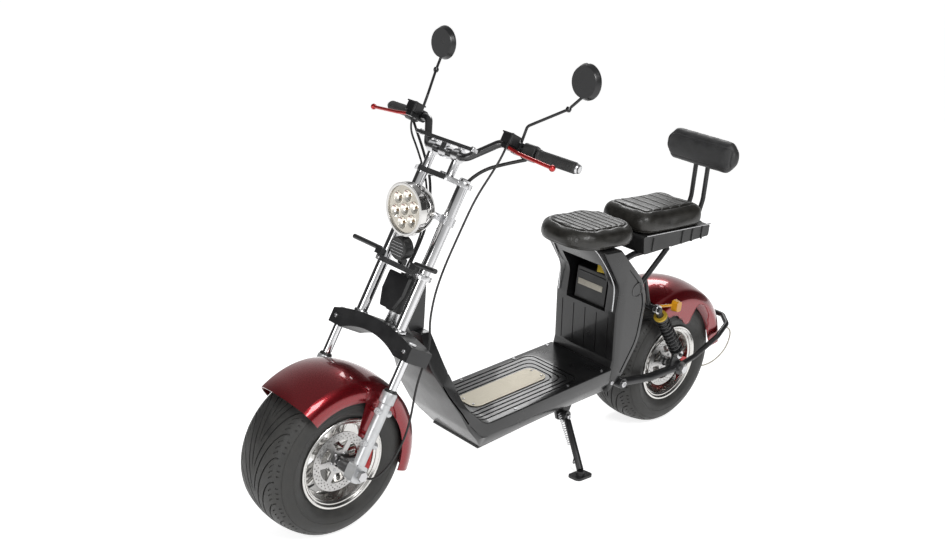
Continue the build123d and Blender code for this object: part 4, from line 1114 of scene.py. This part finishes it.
fork_q = 42
slider_y = 146
tube_y = 84
vertices, faces = [], []
for radius, out, low, high in ((13, slider_y, 205, 370), (16, tube_y, 372, 838)):
    for flip in both:
        own, own_faces = turned([(0, low), (radius, low), (radius, high), (0, high)], 64)
        base = len(vertices)
        vertices += [(fork_q + x, flip * out + y, z) for x, y, z in own]
        faces += [tuple(base + i for i in face) for face in own_faces]
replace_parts(add_mesh("fork_tubes_turned", vertices, faces, on_fork, "fork_chrome"), "fork_tubes")


def pair(x, y, z, ahead_part=0, out_part=0, up_part=1):
    """The same spot on the left and the right, with its direction."""
    return [((x, flip * y, z), (ahead_part, flip * out_part, up_part)) for flip in both]


seal = [(13.4, 0), (18.5, 0), (18.5, 5), (16, 9), (13.4, 9)]
scatter("fork_seals", seal, pair(fork_q, slider_y, 234), on_fork, "control_black", steps=32)
collar = [(17, -34), (19, -33), (21.6, -30), (21.6, -4), (20, 0), (17, 0)]
scatter("fork_collars", collar, pair(fork_q, slider_y, 235), on_fork, "slider_silver", steps=40)
lug = [(10, 12), (10, 25), (8.5, 27), (0, 27)]
lug_spots, lug_bolts = [], []
for flip in both:
    for level in (84, 178):
        for way in both:
            centre, direction = Vector((fork_q, flip * slider_y, level)), Vector((way, flip * 0.25, 0))
            lug_spots.append((centre, direction))
            lug_bolts.append((centre + direction.normalized() * 27, direction))
scatter("fork_lugs", lug, lug_spots, on_fork, "slider_silver", steps=24)
screws("fork_lug_bolts", lug_bolts, 6, 3, on_fork)
tube_collar = [(16.2, 0), (21, 0), (21, 5), (19, 8), (16.2, 8)]
scatter("tube_collars", tube_collar, pair(fork_q, tube_y, 390), on_fork, "yoke_alloy", steps=32)
tube_cap = [(16, -2), (16, 2), (13, 5), (7, 5), (7, 2), (0, 2)]
scatter("tube_caps", tube_cap, pair(fork_q, tube_y, 838), on_fork, "yoke_alloy", steps=32)
screws("stem_bolts", [((0, 0, 560), (0, 0, 1)), ((46, 0, 833), (0, 0, 1))], 11, 8, on_fork)
screws("arch_bolts", pair(fork_q, slider_y, 376), 14.5, 4, on_fork)
screws("arch_end_bolts", pair(62, 150, 352, 1, 0, 0), 6, 4, on_fork)
clamp_bolts = [((66, flip * tube_y, level), (1, 0, 0)) for flip in both for level in (552.5, 825.5)]
screws("yoke_bolts", clamp_bolts, 5.5, 4, on_fork)
riser_bolts = [((70 + shift, flip * 50, 911), (0, 0, 1)) for flip in both for shift in (-8, 8)]
screws("riser_bolts", riser_bolts, 4, 4, on_fork)
screws("crossbar_bolts", pair(86, 106, 924), 6, 4, on_fork)
screws("lamp_side_bolts", pair(85.3, 83, 719, 0, 1, 0), 8, 5, on_fork)

# Handlebar: ribbed grips, caps, buttons, reservoir lids and mirror glass

grip = [(11.2, 0), (15, 0), (16, 1.5)]
for k in range(18):
    start = 4 + 5.6 * k
    grip += [(16, start), (14.9, start + 0.8), (14.9, start + 2.2), (16, start + 3)]
grip += [(16, 108), (17.6, 110), (17.6, 115), (16, 117), (11.2, 117)]
grip_cap = [(0, -12.6), (9, -12.6), (12.5, -9), (14.6, -0.6), (0, -0.6)]
button = [(4, -3), (4, 1.6), (3, 2.6), (0, 2.8)]
glass = [(46.5, -0.6), (46, 0.7), (30, 1.4), (0, 1.8)]
mirror_joint = [(0, -9), (6, -7), (8.5, 0), (6, 7), (0, 9)]
for name, flip in sides:
    outer = Vector((-16, flip * 376, 975))
    inward = (Vector((40, flip * 148, 968)) - outer).normalized()
    on_grip = pointing(on_fork, outer, inward)
    made = lathe(f"grip_{name}", grip, on_grip, "grip_rubber", steps=40)
    if flip > 0:
        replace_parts(made, "grips")
    lathe(f"grip_cap_{name}", grip_cap, on_grip, "crossbar_silver", steps=32)
    for k, paint in enumerate(("ring_orange", "tag_yellow", "label_cream")):
        spot = outer + inward * (128 + 11 * k) + Vector((-17.5, 0, 12))
        seat = pointing(on_fork, spot, (-0.82, 0, 0.57))
        lathe(f"button_{name}_{k}", button, seat, "control_black", paint, 20)
    seat = shifted(on_fork, 62, flip * 196, 995.2)
    add_box(f"reservoir_lid_{name}", (41, 41, 4), seat, "master_black", bevel=1.2)
    spots = [((62 + shift, flip * 196 + shift, 997), (0, 0, 1)) for shift in (-14, 14)]
    screws(f"reservoir_screws_{name}", spots, 3, 1.6, on_fork)
    glass_centre = Vector((-18, flip * 286, 1200)) - lamp_forward * 8
    seat = pointing(on_fork, glass_centre, -lamp_forward)
    lathe(f"mirror_glass_{name}", glass, seat, "mirror_black", "mirror_glass")
    seat = pointing(on_fork, (-20, flip * 268, 1118), (0.3, 0, 1))
    lathe(f"mirror_joint_{name}", mirror_joint, seat, "mirror_black", steps=20)

# Cables in the fork frame: two looms beside the stem and both brake hoses

hose_route = [(60, 190, 953.5), (60, 190, 930), (50, 172, 885), (22, 128, 810), (14, 117, 740)]
hose_route += [(16, 117, 560), (-8, 124, 450), (-30, 142, 396), (-28, 152, 330), (-32, 156, 270)]
hose_route += [(-72, 152, 169), (-82, 148, 105), (-82, 138, 40), (-74, 118, -14), (-56, 96, -26)]
hose_route += [(-43, 86, -14), (-40, 82, -2)]
loom_left = [(14, 232, 950), (26, 190, 925), (40, 120, 880), (30, 62, 806), (8, 30, 700), (-2, 24, 610)]
loom_left += [(0, 22, 560)]
loom_right = [(14, -232, 950), (26, -190, 925), (40, -120, 880), (28, -50, 806), (8, -18, 700)]
loom_right += [(0, -20, 610), (2, -22, 560)]
rear_hose_top = [(60, -190, 953.5), (60, -190, 925), (44, -130, 870), (22, -60, 790), (2, -34, 690)]
rear_hose_top += [(-2, -30, 600), (2, -30, 560)]
tube("front_brake_hose", hose_route, 3.2, on_fork, "control_black", "hose_black")
tube("loom_left", loom_left, 5.0, on_fork, "control_black", "hose_black")
tube("loom_right", loom_right, 4.0, on_fork, "control_black", "hose_black")
tube("rear_brake_hose_top", rear_hose_top, 3.0, on_fork, "control_black", "hose_black")
tie = [(4.4, -1.1), (5.8, -0.8), (5.8, 0.8), (4.4, 1.1)]
tie_spots = [((6, 28, 690), (0.1, 0.1, 1)), ((20, 48, 770), (0.3, 0.4, 1))]
tie_spots.append(((33, -80, 842), (-0.2, -0.6, 0.6)))
scatter("cable_ties", tie, tie_spots, on_fork, "control_black", steps=20)

# Frame and body details, in the bike frame

on_floor = (floor_view, "chassis")
screws("pivot_bolts", pair(303, 142, 239, 0, 1, 0), 11, 6, on_bike)
screws("riser_side_bolts", pair(352, 131.5, 250, 0, 1, 0), 7, 4, on_bike)
floor_spots = [((x, flip * 122, 0), (0, 0, 1)) for x in (34, 190, 420) for flip in both]
screws("floor_screws", floor_spots, 4.5, 2, on_floor)
screws("plate_screws", [((x, y, 3), (0, 0, 1)) for x in (208, 502) for y in (-22, 22)], 4, 1.6, on_floor)
strip_seat = shifted(on_bike, 364.8, -4, 546)
add_box("battery_strip", (1.6, 104, 20), strip_seat, "battery_black", "label_cream", 0.3)
add_box("battery_ledge", (4, 112, 5), shifted(on_bike, 364.6, 0, 582), "battery_black", bevel=1.2)
tag_seat = rolled(rolled(shifted(on_bike, 362, 38, 616), 8, "X"), -14, "Y")
add_box("yellow_tag", (1.2, 46, 30), tag_seat, "battery_black", "tag_yellow", 0.3)
lead = [(340, 40, 598), (344, 44, 622), (352, 52, 634), (344, 66, 622), (322, 72, 600), (312, 74, 570)]
tube("battery_lead", lead, 4.2, on_bike, "control_black", "hose_black")
add_box("battery_plug", (26, 30, 14), shifted(on_bike, 336, 38, 600), "control_black", bevel=2)
for name, flip in sides:
    rod = [(486, 96, 713), (470, 104, 699), (396, 116, 600), (386, 118, 560), (385, 118, 500)]
    rod = [(x, flip * y, z) for x, y, z in rod]
    tube(f"edge_rod_{name}", rod, 2.0, on_bike, "crossbar_silver")
    trim = [(250, flip * 105, 727.5), (-84, flip * 105, 727.5)]
    tube(f"tray_trim_{name}", trim, 2.4, on_bike, "crossbar_silver", smooth=False)
    for k, x in enumerate((210, 60, 8, -44)):
        seat = shifted(on_bike, x, flip * 105, 698 - (x - 84) * 0.03)
        add_box(f"tray_rib_{name}_{k}", (6, 5, 44), seat, "tray_black", bevel=1.2)
for name, flip in sides:
    hook = [(-84, 712), (-112, 714), (-124, 706), (-120, 690), (-108, 688)]
    tube(f"tray_hook_{name}", [(x, flip * 40, z) for x, z in hook], 5, on_bike, "tray_black")
post_sleeve = [(8.2, 0), (11, 0), (11, 18), (8.2, 20)]
scatter("post_sleeves", post_sleeve, pair(-104, 25, 690, -0.25), on_bike, "frame_black", steps=24)
rear_hose = [(-240, 118, 330), (-286, 120, 320), (-306, 118, 280), (-290, 112, 220), (-230, 98, 176)]
rear_hose += [(-150, 84, 182), (-104, 78, 196)]
tube("rear_brake_hose", rear_hose, 2.6, on_bike, "control_black", "label_cream")

# Side stand: return spring, bolt and wire hook

stand_top = Vector((520, 104, 160))
stand_down = (Vector((574, 238, 4)) - stand_top).normalized()
spring_start = Vector((541, 90, 172))
spring_run = stand_top + stand_down * 92 + Vector((12, 0, 0)) - spring_start
on_spring = pointing(on_stand, spring_start, spring_run)
coil("stand_spring", 5, 1.2, spring_run.length, 14, on_spring, "axle_steel")
screws("stand_bolt", [(stand_top + Vector((0, 7, 0)), (-0.2, 0.97, 0.1))], 9, 6, on_bike)
hook_start = stand_top + stand_down * 150
wire = [hook_start + Vector(step) for step in ((0, 0, 0), (12, 4, -2), (20, 6, 8), (16, 6, 20))]
tube("stand_hook", wire, 2, on_stand, "stand_black")

# Camera and studio

camera_at = rear_centre + Vector((3.3869, 2.64345, 1.40925))
azimuth = math.radians(136.38)
elevation = math.radians(15.13)
roll = math.radians(2.43)
level_x, level_y = math.sin(azimuth) * math.cos(elevation), -math.cos(azimuth) * math.cos(elevation)
backward = Vector((level_x, level_y, math.sin(elevation)))
level_right = (-backward).cross(Vector((0, 0, 1))).normalized()
level_up = level_right.cross(-backward)
camera_right = level_right * math.cos(roll) + level_up * math.sin(roll)
camera_up = level_up * math.cos(roll) - level_right * math.sin(roll)
camera_data = bpy.data.cameras.new("camera")
camera_data.sensor_width = 36.0
camera_data.lens = 1276.45 / 945 * camera_data.sensor_width
camera = new_object("camera", camera_data)
camera.matrix_world = axes_matrix(camera_right, camera_up, backward, camera_at)
bpy.context.scene.camera = camera

floor_half = 300
floor_corners = [(-floor_half, -floor_half, 0), (floor_half, -floor_half, 0), (floor_half, floor_half, 0)]
floor_corners += [(-floor_half, floor_half, 0)]
floor_mesh = bpy.data.meshes.new("studio_floor")
floor_mesh.from_pydata(floor_corners, [], [(0, 1, 2, 3)])
floor = new_object("studio_floor", floor_mesh)
floor_white, floor_tree, floor_shader, _ = new_material("studio_floor")
floor_shader.inputs["Base Color"].default_value = (0.8, 0.8, 0.8, 1)
floor_shader.inputs["Roughness"].default_value = 0.9
rays = add_node(floor_tree, "LightPath").outputs
direct, glossy, passed = (rays[f"Is {kind} Ray"] for kind in ("Camera", "Glossy", "Transmission"))
seen = add_node(floor_tree, "Math", "MAXIMUM", {0: direct, 1: glossy}).outputs[0]
clear = add_node(floor_tree, "Math", "MAXIMUM", {0: seen, 1: passed}).outputs[0]
glow = add_node(floor_tree, "Math", "MULTIPLY", {0: clear, 1: 0.8}).outputs[0]
floor_shader.inputs["Emission Color"].default_value = (1, 1, 1, 1)
floor_tree.links.new(glow, floor_shader.inputs["Emission Strength"])
floor_mesh.materials.append(floor_white)

# The world dims towards the zenith and at both sides, for dark lines in chrome; the camera sees it white
world = bpy.data.worlds.new("studio")
bpy.context.scene.world = world
world.use_nodes = True
world_tree = world.node_tree
backdrop = world_tree.nodes["Background"]
direction = add_node(world_tree, "TexCoord").outputs["Generated"]
height = add_node(world_tree, "SeparateXYZ", None, {"Vector": direction}).outputs["Z"]
fade = add_range(world_tree, height, 0.7, 0.26, 0.1, 0.8)
across = add_node(world_tree, "VectorMath", "DOT_PRODUCT", {0: direction, 1: level_right}).outputs["Value"]
sideways = add_node(world_tree, "Math", "ABSOLUTE", {0: across}).outputs[0]
flags = add_range(world_tree, sideways, 1.0, 0.1, 0.5, 0.72)
dimmed = add_node(world_tree, "Math", "MULTIPLY", {0: fade, 1: flags}).outputs[0]
camera_ray = add_node(world_tree, "LightPath").outputs["Is Camera Ray"]
strength = add_node(world_tree, "Mix", None, {0: camera_ray, 2: dimmed, 3: 1.0}).outputs[0]
world_tree.links.new(strength, backdrop.inputs["Strength"])
backdrop.inputs["Color"].default_value = (1, 1, 1, 1)


def add_lamp(name, place, aim, size, power):
    """A square area light at a place, aimed at a point."""
    data = bpy.data.lights.new(name, "AREA")
    data.size = size
    data.energy = power
    lamp = new_object(name, data)
    lamp.location = place
    lamp.rotation_euler = (Vector(aim) - Vector(place)).to_track_quat("-Z", "Y").to_euler()


add_lamp("key", (1.4, 3.2, 3.4), (0, 0, 0.5), 1.6, 90)
add_lamp("front_fill", (4.2, 0.6, 1.6), (0.4, 0, 0.5), 1.4, 35)
add_lamp("back", (-2.6, -1.8, 3.2), (0, 0, 0.6), 1.6, 50)

bpy.context.scene.view_settings.view_transform = "Standard"
